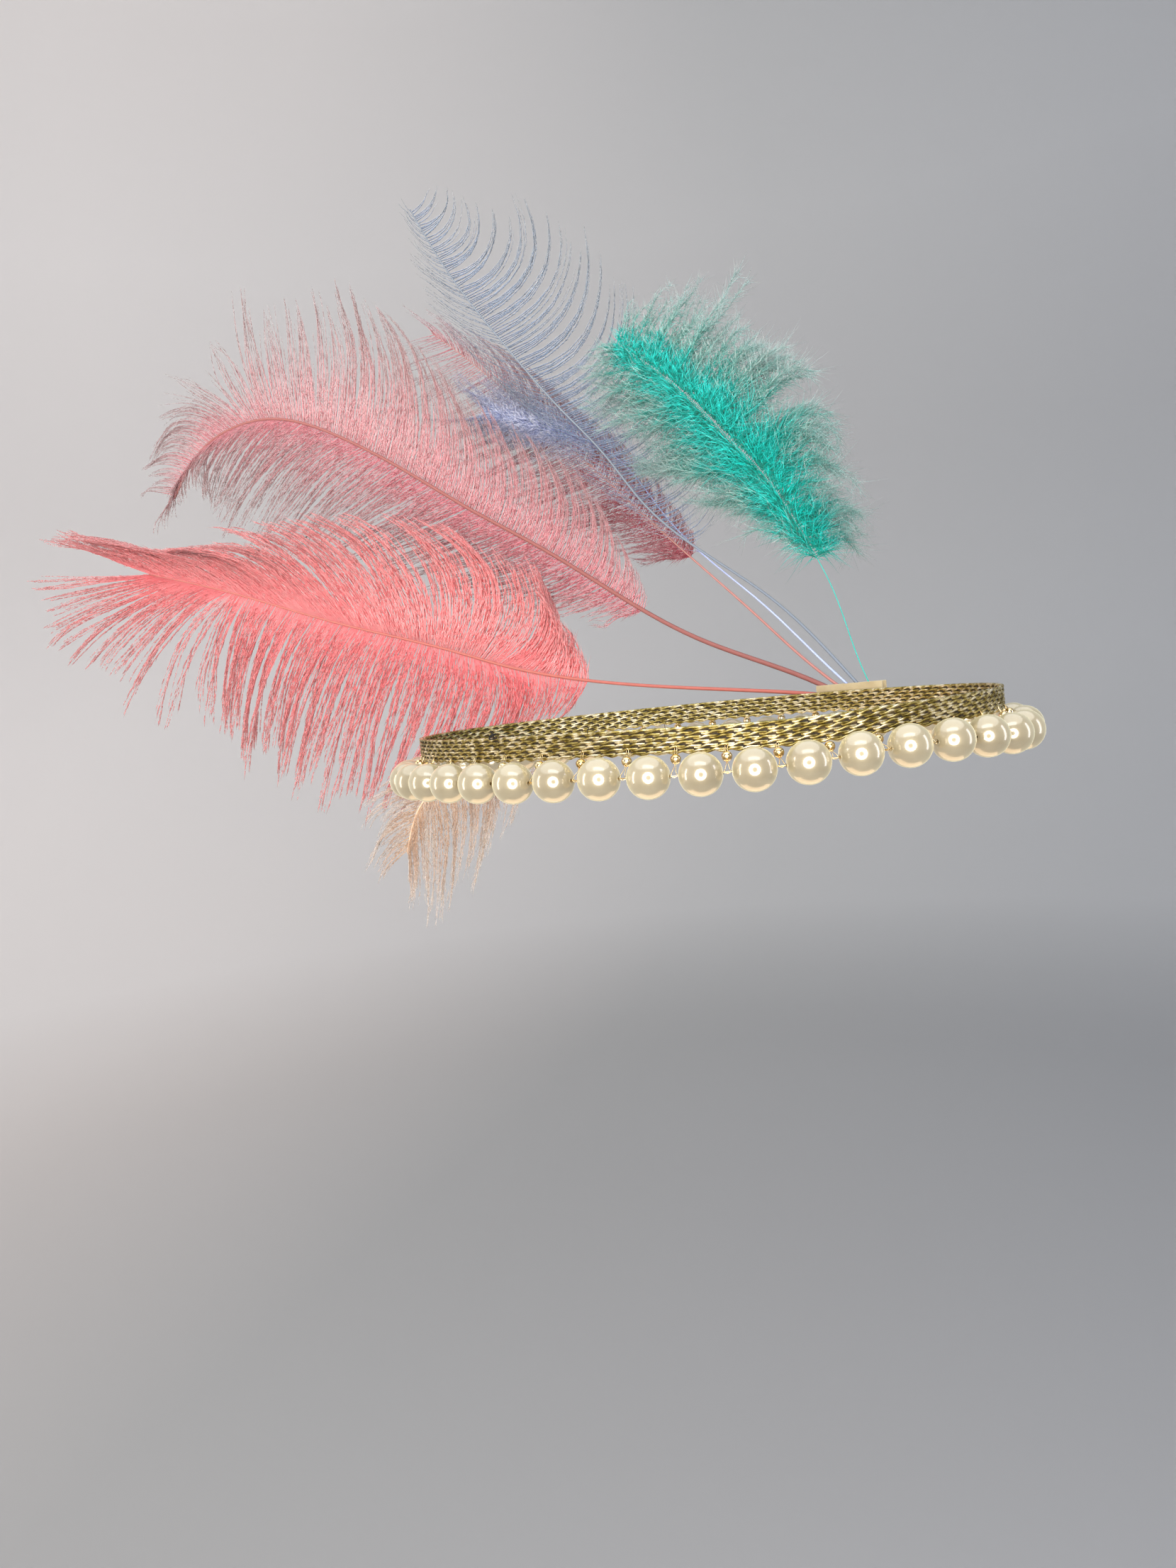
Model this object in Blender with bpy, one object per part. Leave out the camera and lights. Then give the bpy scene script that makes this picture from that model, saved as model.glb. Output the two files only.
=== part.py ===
"""Flapper feather headband in metres, +X to the wearer's front, +Y to the wearer's left, +Z up.

A flat gold braid band closes round the head. A string of imitation pearls hangs below it, with a
small gold bead in each gap. Seven dyed plumes fan back from a plain binding at the left temple.
The origin is the centre of the head opening, at the band's middle height where it runs highest.
"""

import math
import random

import bmesh
import bpy
import numpy as np
from mathutils import Vector

MM = 0.001
MERGE_DISTANCE = 0.000001

# The head opening is an ellipse; every loop is that ellipse grown by an offset.
HEAD_HALF_LENGTH = 95.0
HEAD_HALF_WIDTH = 71.0
ELLIPSE_STEPS = 2880

# The braid band
BAND_HEIGHT = 7.5
BAND_CLEARANCE = 0.3
BAND_THICKNESS = 1.5
BAND_EDGE_DROP = 0.35
BAND_SEGMENTS = 64
# The band dips a little over the right temple.
# Columns: distance along it from the middle of the right side, drop in mm.
BAND_DROP = (
    (-131, 0.2), (-58, 0.55), (-30, 0.75), (-11, 0.95), (2, 1.2), (16, 1.6), (29, 2.0), (43, 2.3),
    (59, 2.0), (74, 1.4), (90, 1.1), (102, 0.9), (131, 0.6), (262, 0.0),
)

# The string of pearls
PEARL_COUNT = 40
PEARL_DIAMETER = 12.0
PEARL_BORE = 1.3
PEARL_SIDES = 10
PEARL_RING_ANGLES = (40.0, 75.0, 105.0, 140.0)
PEARL_RING_SWELL = 1.02
PEARL_OFFSET = 7.4
PEARL_HEIGHT = -10.0
PEARL_START_ARC = -4.4
THREAD_DIAMETER = 0.5
THREAD_SIDES = 5
THREAD_NODE_HALF_LENGTH = 0.2

# The small gold beads between the pearls
GOLD_BEAD_DIAMETER = 2.6
GOLD_BEAD_SIDES = 10
GOLD_BEAD_OFFSET = 3.4
GOLD_BEAD_BELOW_BAND = 1.2
# Rings of a gold bead. Columns: height and width, as shares of its radius.
GOLD_BEAD_RINGS = ((-0.42, 1.0), (0.42, 1.0), (1.0, 0.42))

# The binding for the quills, a folded patch open at the top and both ends
BINDING_CENTRE_X = 38.0
BINDING_LENGTH = 27.0
BINDING_BOTTOM = -3.2
BINDING_TOP = 6.0
BINDING_WALL = 1.0
BINDING_FLOOR = 1.2
BINDING_SLOT = 2.2
BINDING_GAP = 0.3

# The plumes
QUILL_ROOT_RADIUS = 0.8
QUILL_TIP_RADIUS = 0.35
QUILL_EXIT_LENGTH = 13.0
SHAFT_CORNER = 0.8
TANGENT_STEP = 2.0
LOCK_MID_FILL = 0.86
LOCK_TIP_FILL = 0.5
LOCK_MID_HALF_THICKNESS = 0.55
LOCK_TIP_HALF_THICKNESS = 0.35
LOCK_STAGGER = 0.9

# How far each pearl of the right side hangs from the level line. Columns: pearl number, rise in mm.
PEARL_RISE = (
    (1, 0.6), (2, 0.0), (3, 0.6), (4, -0.5), (5, 0.2), (6, 0.0), (7, -0.7), (8, -0.8),
    (9, -0.8), (10, -0.5), (11, 0.8), (12, 1.1), (13, 1.3), (14, 0.4), (15, -0.3), (16, -1.0),
)
OTHER_PEARL_RISE = 0.4
# The start arc is the middle of a pearl, and pearl_01 is this many pearls before it.
PEARLS_BEFORE_START = 5

# Each plume has three tables in mm.
# root: place along the binding, height and angle above level at which the quill leaves.
# shaft columns: x, y, z of the middle of the shaft, from the binding to the tip.
# upper and lower columns: distance along the vane, then the middle and the tip of a barb there,
# each as x and z from the shaft. Distances count from the shaft row numbered zero_row, and the
# first row of both vane tables says where the vane starts.
PLUMES = {
    "plume_coral": {
        "root": (6.4, 1.6, 8.0),
        "zero_row": 1,
        "shaft": (
            (-30, 82, 10), (-111, 84, 27), (-131, 86, 34), (-158, 87, 43), (-187, 88, 52),
            (-216, 89, 62), (-249, 90, 74), (-280, 91, 84), (-304, 92, 91),
        ),
        "upper": (
            (-42, -3, 13, -12, 22), (0, 21, 18, 17, 44), (20, 12, 30, -5, 55), (48, -8, 31, -30, 56),
            (78, -22, 30, -48, 49), (109, -28, 25, -61, 37), (142, -31, 21, -71, 34),
            (174, -31, 18, -68, 33), (205, -31, 13, -63, 25),
        ),
        "lower": (
            (-42, -8, -10, -18, -18), (0, -2, -20, -21, -45), (20, -7, -23, -29, -55),
            (48, -14, -24, -29, -59), (78, -19, -23, -37, -57), (109, -22, -23, -38, -54),
            (142, -18, -17, -27, -46), (164, -31, -12, -61, -35), (180, -41, -8, -76, -20),
            (205, -33, -1, -70, -8),
        ),
        "locks": 12,
    },
    "plume_rose": {
        "root": (3.2, 1.6, 27.0),
        "zero_row": 1,
        "shaft": (
            (-20, 82, 28), (-74, 92, 63), (-91, 93, 75), (-123, 94, 96), (-160, 95, 122),
            (-184, 96, 137), (-201, 97, 146), (-226, 98, 154), (-247, 99, 154), (-269, 100, 147),
            (-290, 101, 127),
        ),
        "upper": (
            (-35, 2, 10, -2, 20), (0, 9, 18, 3, 42), (21, 8, 22, 0, 48), (59, 7, 26, -4, 59),
            (104, 10, 33, 2, 66), (132, 8, 32, 6, 63), (150, 4, 31, 2, 59), (170, -3, 31, -3, 55),
            (181, -7, 26, -9, 53), (195, -17, 16, -40, 31), (210, -20, 10, -40, 1),
            (240, -12, 4, -21, 3),
        ),
        "lower": (
            (-35, -11, -3, -22, -5), (0, -19, -5, -46, -8), (21, -19, -4, -47, -7),
            (59, -23, -5, -50, -10), (104, -23, -10, -47, -24), (132, -25, -9, -51, -29),
            (150, -26, -12, -50, -32), (175, -22, -13, -41, -34), (190, -18, -11, -27, -26),
            (205, -14, -10, -18, -21), (240, -8, -7, -11, -15),
        ),
        "locks": 13,
    },
    "plume_blue": {
        "root": (-6.4, 1.2, 50.0),
        "zero_row": 1,
        "shaft": (
            (8, 84, 42), (-45, 97, 88), (-60, 98, 110), (-78, 99, 132), (-101, 100, 163),
            (-125, 101, 199), (-141, 102, 230),
        ),
        "upper": (
            (-30, 10, 5, 15, 17), (0, 22, 9, 32, 33), (27, 22, 8, 33, 34), (55, 26, 12, 35, 40),
            (73, 28, 12, 36, 43), (93, 28, 14, 36, 41), (110, 27, 14, 31, 39), (125, 22, 10, 24, 33),
            (143, 16, 6, 18, 22), (171, 7, 4, 11, 10),
        ),
        "lower": (
            (-30, -10, 6, -18, 14), (0, -23, 13, -43, 33), (27, -22, 14, -42, 34),
            (63, -21, 12, -40, 31), (93, -19, 11, -35, 26), (119, -14, 10, -27, 22),
            (143, -8, 6, -14, 15), (171, -3, 4, -6, 10),
        ),
        "locks": 10,
    },
    "plume_rose_back": {
        "root": (0.0, 1.4, 38.0),
        "zero_row": 1,
        "shaft": (
            (0, 92, 36), (-46, 109, 81), (-67, 110, 104), (-93, 111, 131), (-119, 112, 158),
            (-143, 113, 180),
        ),
        "upper": (
            (-25, 2, 8, -3, 17), (0, 3, 14, -7, 33), (31, 2, 15, -11, 32), (67, -2, 17, -13, 33),
            (105, -4, 13, -17, 27), (141, -7, 7, -17, 14),
        ),
        "lower": (
            (-25, -12, 0, -25, 1), (0, -22, -2, -48, -2), (31, -25, -5, -49, -8),
            (67, -24, -6, -46, -9), (105, -19, -5, -38, -9), (141, -10, 0, -21, -1),
        ),
        "locks": 7,
    },
    "plume_lavender": {
        "root": (-3.2, 1.3, 44.0),
        "zero_row": 1,
        "shaft": (
            (4, 88, 40), (-37, 103, 81), (-56, 104, 108), (-87, 105, 127), (-116, 105, 138),
        ),
        "upper": (
            (-25, 2, 10, -4, 21), (0, 2, 19, -13, 47), (33, -5, 19, -21, 38), (69, -10, 13, -20, 27),
            (102, -9, 9, -21, 19),
        ),
        "lower": (
            (-25, -9, 3, -18, 6), (0, -17, 4, -35, 8), (33, -18, 0, -37, 1), (69, -14, -3, -27, -4),
            (102, -14, 0, -30, 3),
        ),
        "locks": 6,
    },
    "plume_teal": {
        "root": (-9.6, 0.4, 68.0),
        "zero_row": 1,
        "shaft": (
            (34, 77, 42), (20, 82, 71), (13, 83, 84), (-2, 84, 104), (-20, 85, 126), (-46, 86, 150),
        ),
        "upper": (
            (-20, 7, 2, 14, 0), (0, 15, 1, 26, -7), (14, 16, 6, 30, -6), (27, 18, 10, 31, 4),
            (40, 18, 13, 34, 15), (59, 17, 15, 29, 21), (76, 14, 15, 27, 27), (90, 8, 14, 17, 25),
            (104, 3, 12, 6, 22),
        ),
        "lower": (
            (-20, -7, 3, -14, 5), (0, -15, 4, -32, 6), (14, -17, 1, -36, 4), (40, -20, -3, -38, -3),
            (59, -18, -4, -35, -6), (76, -17, -3, -32, -5), (90, -15, 1, -27, 0),
            (104, -10, 4, -18, 7),
        ),
        "locks": 8,
    },
    "plume_peach": {
        "root": (9.6, -1.0, 0.0),
        "zero_row": 2,
        "shaft": (
            (-10, 81, 0), (-62, 80, -1), (-111, 76, -8), (-132, 76, -17), (-154, 76, -30),
            (-165, 77, -52),
        ),
        "upper": (
            (-25, -9, 4, -20, 2), (0, -15, 3, -36, -3), (22, -18, 3, -41, -4), (36, -21, -1, -41, -10),
            (48, -17, -6, -28, -19), (74, -9, -7, -14, -14),
        ),
        "lower": (
            (-25, -4, -10, -11, -20), (0, -3, -24, -14, -51), (22, -1, -26, -11, -58),
            (36, 1, -27, -6, -58), (48, -1, -21, -4, -47), (74, -1, -11, -3, -20),
        ),
        "locks": 5,
    },
}

# Materials. Columns: colour as sRGB hex, roughness, metallic.
MATERIALS = {
    "gold_braid": ("BFA35A", 0.35, 1.0),
    "pearl_lacquer": ("E9E2CC", 0.18, 0.0),
    "gold_beads": ("E8C98A", 0.15, 1.0),
    "binding_felt": ("C9B68C", 0.9, 0.0),
    "plume_coral": ("F28C8C", 0.75, 0.0),
    "plume_rose": ("D39A9C", 0.75, 0.0),
    "plume_blue": ("BCC8D6", 0.75, 0.0),
    "plume_rose_back": ("CC8F93", 0.75, 0.0),
    "plume_lavender": ("BFC8E6", 0.8, 0.0),
    "plume_teal": ("3FB79C", 0.8, 0.0),
    "plume_peach": ("F0CDB8", 0.8, 0.0),
}


def linear(hex_colour):
    """Turns an sRGB hex colour into linear values."""
    values = [int(hex_colour[i:i + 2], 16) / 255 for i in (0, 2, 4)]
    return [v / 12.92 if v <= 0.04045 else ((v + 0.055) / 1.055) ** 2.4 for v in values] + [1.0]


def make_material(name):
    colour, roughness, metallic = MATERIALS[name]
    material = bpy.data.materials.new(name)
    material.use_nodes = True
    shader = material.node_tree.nodes["Principled BSDF"]
    shader.inputs["Base Color"].default_value = linear(colour)
    shader.inputs["Roughness"].default_value = roughness
    shader.inputs["Metallic"].default_value = metallic
    material.diffuse_color = linear(colour)
    return material


def make_mesh(name, points, faces, material, smooth):
    """Makes one closed mesh from points in mm, with its faces turned outwards."""
    mesh = bpy.data.meshes.new(name)
    mesh.from_pydata([Vector(p) * MM for p in points], [], faces)
    body = bmesh.new()
    body.from_mesh(mesh)
    bmesh.ops.recalc_face_normals(body, faces=body.faces)
    body.to_mesh(mesh)
    body.free()
    mesh.materials.append(material)
    mesh.polygons.foreach_set("use_smooth", [smooth] * len(mesh.polygons))
    return mesh


def add_object(name, mesh):
    part = bpy.data.objects.new(name, mesh)
    bpy.context.scene.collection.objects.link(part)
    return part


def loop_at(offset, arcs):
    """Points and outward normals of a loop at distances along it, from the middle of the right side."""
    a = HEAD_HALF_LENGTH + offset
    b = HEAD_HALF_WIDTH + offset
    angle = np.linspace(-math.pi / 2, 1.5 * math.pi, ELLIPSE_STEPS + 1)
    x = a * np.cos(angle)
    y = b * np.sin(angle)
    run = np.concatenate([[0.0], np.cumsum(np.hypot(np.diff(x), np.diff(y)))])
    at = np.interp(np.mod(arcs, run[-1]), run, angle)
    points = np.stack([a * np.cos(at), b * np.sin(at)], axis=1)
    normals = np.stack([b * np.cos(at), a * np.sin(at)], axis=1)
    normals /= np.linalg.norm(normals, axis=1)[:, None]
    return points, normals


def loop_length(offset):
    a = HEAD_HALF_LENGTH + offset
    b = HEAD_HALF_WIDTH + offset
    h = ((a - b) / (a + b)) ** 2
    return math.pi * (a + b) * (1 + 3 * h / (10 + math.sqrt(4 - 3 * h)))


def band_drop(share):
    """How far the band hangs below its own highest line, at shares of the way round it."""
    length = loop_length(0.0)
    table = np.array(BAND_DROP)
    return np.interp(share * length, table[:, 0], table[:, 1], period=length)


def tube_faces(rings, sides, closed):
    """Quads between rings of points; a closed tube joins its last ring to its first."""
    faces = []
    for i in range(rings if closed else rings - 1):
        here = i * sides
        there = (i + 1) % rings * sides
        for j in range(sides):
            k = (j + 1) % sides
            faces.append((here + j, here + k, there + k, there + j))
    return faces


def make_band():
    """A flattened tube of braid: a slim six-sided section carried round the head."""
    inner = BAND_CLEARANCE
    outer = BAND_CLEARANCE + BAND_THICKNESS
    middle = (inner + outer) / 2
    half = BAND_HEIGHT / 2
    shoulder = half - BAND_EDGE_DROP
    section = (
        (inner, -shoulder), (middle, -half), (outer, -shoulder),
        (outer, shoulder), (middle, half), (inner, shoulder),
    )
    shares = np.arange(BAND_SEGMENTS) / BAND_SEGMENTS
    spine, normals = loop_at(0.0, shares * loop_length(0.0))
    points = []
    for place, normal, drop in zip(spine, normals, band_drop(shares)):
        for out, height in section:
            x, y = place + normal * out
            points.append((x, y, height - drop))
    faces = tube_faces(BAND_SEGMENTS, len(section), True)
    add_object("band", make_mesh("band", points, faces, make_material("gold_braid"), False))


def string_nodes():
    """The thread's points, one in the middle of each gap between two pearls."""
    rise = {number - 1: value for number, value in PEARL_RISE}
    chance = random.Random(7)
    rises = []
    for i in range(PEARL_COUNT):
        rises.append(rise.get(i, chance.uniform(-OTHER_PEARL_RISE, OTHER_PEARL_RISE)))
    pitch = loop_length(PEARL_OFFSET) / PEARL_COUNT
    arcs = PEARL_START_ARC + pitch * (np.arange(PEARL_COUNT) - PEARLS_BEFORE_START - 0.5)
    spots, _ = loop_at(PEARL_OFFSET, arcs)
    nodes = []
    for i, (x, y) in enumerate(spots):
        nodes.append(Vector((x, y, PEARL_HEIGHT + (rises[i] + rises[i - 1]) / 2)))
    return nodes, arcs


def pearl_mesh():
    """A round bead drilled along X: a profile from one rim of the bore to the other, spun about X."""
    radius = PEARL_DIAMETER / 2
    bore = PEARL_BORE / 2
    rim = math.sqrt(radius ** 2 - bore ** 2)
    profile = [(rim, bore)]
    for angle in PEARL_RING_ANGLES:
        turn = math.radians(angle)
        reach = radius * PEARL_RING_SWELL
        profile.append((reach * math.cos(turn), reach * math.sin(turn)))
    profile.append((-rim, bore))
    body = bmesh.new()
    corners = [body.verts.new(Vector((along, 0, reach)) * MM) for along, reach in profile]
    edges = [body.edges.new((corners[i - 1], corners[i])) for i in range(len(corners))]
    bmesh.ops.spin(body, geom=corners + edges, cent=(0, 0, 0), axis=(1, 0, 0), angle=2 * math.pi,
                   steps=PEARL_SIDES, use_merge=True)
    bmesh.ops.remove_doubles(body, verts=body.verts, dist=MERGE_DISTANCE)
    bmesh.ops.recalc_face_normals(body, faces=body.faces)
    mesh = bpy.data.meshes.new("pearl")
    body.to_mesh(mesh)
    body.free()
    mesh.materials.append(make_material("pearl_lacquer"))
    mesh.polygons.foreach_set("use_smooth", [True] * len(mesh.polygons))
    return mesh


def make_pearls(nodes):
    mesh = pearl_mesh()
    for i in range(PEARL_COUNT):
        start = nodes[i]
        end = nodes[(i + 1) % PEARL_COUNT]
        pearl = add_object(f"pearl_{i + 1:02d}", mesh)
        pearl.location = (start + end) / 2 * MM
        pearl.rotation_euler = (end - start).to_track_quat("X", "Z").to_euler()


def turn_about(point, centre, first, second):
    """The angle of a point round a centre, from the first direction to the second, up to a turn."""
    arm = point - centre
    return math.atan2(arm.dot(second), arm.dot(first)) % (2 * math.pi)


def bridge(low, low_turns, high, high_turns):
    """Triangles between two rings with different numbers of points, both sorted by their angle."""
    faces = []
    i = 0
    j = 0
    while i < len(low) or j < len(high):
        next_low = low_turns[i % len(low)] + 2 * math.pi * (i // len(low)) if i < len(low) else 1e9
        next_high = high_turns[j % len(high)] + 2 * math.pi * (j // len(high)) if j < len(high) else 1e9
        here_low = low[(i - 1) % len(low)]
        here_high = high[(j - 1) % len(high)]
        if next_low < next_high:
            faces.append((here_low, low[i], here_high))
            i += 1
        else:
            faces.append((here_low, high[j], here_high))
            j += 1
    return faces


def gold_bead_body(points, faces, root, axis, bead):
    """Grows a stem out of four points of the thread and swells it to a round bead."""
    reach = GOLD_BEAD_DIAMETER / 2
    foot = sum((points[i] for i in root), Vector()) / len(root)
    up = (bead - foot).normalized()
    first = (axis - up * axis.dot(up)).normalized()
    second = up.cross(first)
    root = sorted(root, key=lambda i: turn_about(points[i], foot, first, second))
    neck = len(points)
    points += [points[i] + bead - up * reach - foot for i in root]
    necks = list(range(neck, neck + len(root)))
    for j in range(len(root)):
        k = (j + 1) % len(root)
        faces.append((root[j], root[k], necks[k], necks[j]))
    turns = [2 * math.pi * j / GOLD_BEAD_SIDES for j in range(GOLD_BEAD_SIDES)]
    low = len(points)
    for height, width in GOLD_BEAD_RINGS:
        spokes = [math.cos(t) * first + math.sin(t) * second for t in turns]
        points += [bead + reach * (height * up + width * spoke) for spoke in spokes]
    neck_turns = [turn_about(points[i], bead - up * reach, first, second) for i in necks]
    faces += bridge(necks, neck_turns, list(range(low, low + GOLD_BEAD_SIDES)), turns)
    rings = tube_faces(len(GOLD_BEAD_RINGS), GOLD_BEAD_SIDES, False)
    faces += [tuple(low + i for i in face) for face in rings]
    top = len(points) - GOLD_BEAD_SIDES
    faces.append(tuple(range(top, top + GOLD_BEAD_SIDES)))


def make_bead_string(nodes, arcs):
    """The gold thread through the pearls, with a small gold bead grown from it above every gap."""
    share = arcs / loop_length(PEARL_OFFSET)
    spots, _ = loop_at(GOLD_BEAD_OFFSET, share * loop_length(GOLD_BEAD_OFFSET))
    heights = -BAND_HEIGHT / 2 - band_drop(share) - GOLD_BEAD_BELOW_BAND
    points = []
    axes = []
    beads = []
    for i, (node, (x, y)) in enumerate(zip(nodes, spots)):
        axis = (nodes[(i + 1) % PEARL_COUNT] - nodes[i - 1]).normalized()
        bead = Vector((x, y, heights[i]))
        up = (bead - node).normalized()
        up = (up - axis * up.dot(axis)).normalized()
        second = axis.cross(up)
        for along in (-THREAD_NODE_HALF_LENGTH, THREAD_NODE_HALF_LENGTH):
            for j in range(THREAD_SIDES):
                turn = 2 * math.pi * (j - 0.5) / THREAD_SIDES
                spoke = math.cos(turn) * up + math.sin(turn) * second
                points.append(node + axis * along + THREAD_DIAMETER / 2 * spoke)
        axes.append(axis)
        beads.append(bead)
    rings = 2 * PEARL_COUNT
    roots = [(2 * i * THREAD_SIDES, 2 * i * THREAD_SIDES + 1) for i in range(PEARL_COUNT)]
    roots = [(a, b, a + THREAD_SIDES, b + THREAD_SIDES) for a, b in roots]
    taken = {frozenset(root) for root in roots}
    faces = [face for face in tube_faces(rings, THREAD_SIDES, True) if frozenset(face) not in taken]
    for root, axis, bead in zip(roots, axes, beads):
        gold_bead_body(points, faces, root, axis, bead)
    add_object("bead_thread", make_mesh("bead_thread", points, faces, make_material("gold_beads"), True))


def binding_frame():
    """Where the binding touches the head line, its outward normal and the way back along the band."""
    y = HEAD_HALF_WIDTH * math.sqrt(1 - (BINDING_CENTRE_X / HEAD_HALF_LENGTH) ** 2)
    normal = Vector((BINDING_CENTRE_X / HEAD_HALF_LENGTH ** 2, y / HEAD_HALF_WIDTH ** 2, 0)).normalized()
    back = Vector((-normal.y, normal.x, 0))
    return Vector((BINDING_CENTRE_X, y, 0)), normal, back


def make_binding():
    """A plain folded patch: two walls and a floor round a slot that the quills stand in."""
    centre, normal, back = binding_frame()
    inner = BAND_CLEARANCE + BAND_THICKNESS + BINDING_GAP
    slot_start = inner + BINDING_WALL
    slot_end = slot_start + BINDING_SLOT
    outer = slot_end + BINDING_WALL
    floor = BINDING_BOTTOM + BINDING_FLOOR
    section = (
        (inner, BINDING_BOTTOM), (outer, BINDING_BOTTOM), (outer, BINDING_TOP), (slot_end, BINDING_TOP),
        (slot_end, floor), (slot_start, floor), (slot_start, BINDING_TOP), (inner, BINDING_TOP),
    )
    points = []
    for along in (-BINDING_LENGTH / 2, BINDING_LENGTH / 2):
        for out, height in section:
            points.append(centre + back * along + normal * out + Vector((0, 0, height)))
    sides = len(section)
    faces = tube_faces(2, sides, False)
    faces.append(tuple(range(sides)))
    faces.append(tuple(range(sides, 2 * sides)))
    mesh = make_mesh("quill_binding", points, faces, make_material("binding_felt"), False)
    add_object("quill_binding", mesh)


def slot_middle():
    return BAND_CLEARANCE + BAND_THICKNESS + BINDING_GAP + BINDING_WALL + BINDING_SLOT / 2


def smooth_path(knots, step=1.0):
    """A natural cubic through the knots, sampled about every mm, with its running length."""
    knots = np.array(knots, dtype=float)
    run = np.concatenate([[0.0], np.cumsum(np.linalg.norm(np.diff(knots, axis=0), axis=1))])
    gaps = np.diff(run)
    count = len(knots)
    system = np.eye(count)
    right = np.zeros_like(knots)
    for i in range(1, count - 1):
        system[i, i - 1:i + 2] = gaps[i - 1], 2 * (gaps[i - 1] + gaps[i]), gaps[i]
        right[i] = 6 * ((knots[i + 1] - knots[i]) / gaps[i] - (knots[i] - knots[i - 1]) / gaps[i - 1])
    bend = np.linalg.solve(system, right)
    at = np.linspace(0, run[-1], int(run[-1] / step) + 1)
    i = np.clip(np.searchsorted(run, at, side="right") - 1, 0, count - 2)
    gap = gaps[i][:, None]
    before = (run[i + 1] - at)[:, None]
    after = (at - run[i])[:, None]
    path = (bend[i] * before ** 3 + bend[i + 1] * after ** 3) / (6 * gap)
    path += (knots[i] / gap - bend[i] * gap / 6) * before
    path += (knots[i + 1] / gap - bend[i + 1] * gap / 6) * after
    length = np.concatenate([[0.0], np.cumsum(np.linalg.norm(np.diff(path, axis=0), axis=1))])
    return path, length


def plume_path(plume):
    """The shaft from the binding's slot to the tip, and its length up to the zero of the vane tables."""
    centre, normal, back = binding_frame()
    along, height, angle = plume["root"]
    root = centre + back * along + normal * slot_middle() + Vector((0, 0, height))
    rise = math.radians(angle)
    leave = root + (back * math.cos(rise) + Vector((0, 0, math.sin(rise)))) * QUILL_EXIT_LENGTH
    knots = [tuple(root), tuple(leave)] + list(plume["shaft"])
    path, length = smooth_path(knots)
    first = np.array(plume["shaft"][plume["zero_row"]], dtype=float)
    zero = length[np.argmin(np.linalg.norm(path - first, axis=1))]
    return path, length, zero


def guide_at(rows, along):
    """The middle and tip of a barb at a distance along the vane, read between the table's rows."""
    table = np.array(rows, dtype=float)
    mid_x, mid_z, tip_x, tip_z = (np.interp(along, table[:, 0], table[:, c]) for c in range(1, 5))
    return np.array([mid_x, 0.0, mid_z]), np.array([tip_x, 0.0, tip_z])


def make_plume(name, plume):
    """A shaft with a comb of flat locks on both sides, all one closed body."""
    path, length, zero = plume_path(plume)
    start = zero + plume["upper"][0][0]

    def at(distance):
        return np.array([np.interp(distance, length, path[:, c]) for c in range(3)])

    locks = plume["locks"]
    edges = np.linspace(start, length[-1], locks + 1)
    marks = np.concatenate([[0.0, QUILL_EXIT_LENGTH, (start + QUILL_EXIT_LENGTH) / 2], edges])
    points = []
    for mark in marks:
        tangent = at(min(mark + TANGENT_STEP, length[-1])) - at(max(mark - TANGENT_STEP, 0))
        tangent /= np.linalg.norm(tangent)
        depth = np.array([0.0, 1.0, 0.0]) - tangent * tangent[1]
        depth /= np.linalg.norm(depth)
        side = np.cross(depth, tangent)
        reach = QUILL_ROOT_RADIUS + (QUILL_TIP_RADIUS - QUILL_ROOT_RADIUS) * mark / length[-1]
        for over, out in ((1, 1), (1, -1), (-1, -1), (-1, 1)):
            points.append(at(mark) + SHAFT_CORNER * reach * (over * side + out * depth))
    rings = len(marks)
    first_lock = rings - locks - 1
    faces = [(0, 1, 2, 3), tuple(4 * rings - 4 + j for j in range(4))]
    for i in range(rings - 1):
        for j in range(4):
            k = (j + 1) % 4
            if i < first_lock or j in (1, 3):
                faces.append((4 * i + j, 4 * i + k, 4 * i + 4 + k, 4 * i + 4 + j))
    middles = (edges[:-1] + edges[1:]) / 2
    for rows, corners in ((plume["upper"], (0, 1)), (plume["lower"], (3, 2))):
        roots = [at(m) for m in middles]
        guides = [guide_at(rows, m - zero) for m in middles]
        for i in range(locks):
            ring = first_lock + i
            stagger = np.array([0.0, LOCK_STAGGER * (1 if i % 2 else -1), 0.0])
            here = [4 * ring + corner for corner in corners]
            last = [here[0], here[1], here[1] + 4, here[0] + 4]
            for level, fill, thick in ((0, LOCK_MID_FILL, LOCK_MID_HALF_THICKNESS),
                                       (1, LOCK_TIP_FILL, LOCK_TIP_HALF_THICKNESS)):
                before = max(i - 1, 0)
                after = min(i + 1, locks - 1)
                across = (roots[after] + guides[after][level]) - (roots[before] + guides[before][level])
                across = across / (after - before) * fill / 2
                middle = roots[i] + guides[i][level] + stagger * (1 + level)
                new = len(points)
                for way, out in ((-1, 1), (-1, -1), (1, -1), (1, 1)):
                    points.append(middle + way * across + np.array([0.0, out * thick, 0.0]))
                for j in range(4):
                    k = (j + 1) % 4
                    faces.append((last[j], last[k], new + k, new + j))
                last = [new, new + 1, new + 2, new + 3]
            faces.append(tuple(last))
    add_object(name, make_mesh(name, points, faces, make_material(name), False))


def main():
    for old in list(bpy.data.objects):
        bpy.data.objects.remove(old)
    make_band()
    nodes, arcs = string_nodes()
    make_pearls(nodes)
    make_bead_string(nodes, arcs)
    make_binding()
    for name, plume in PLUMES.items():
        make_plume(name, plume)


main()
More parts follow.
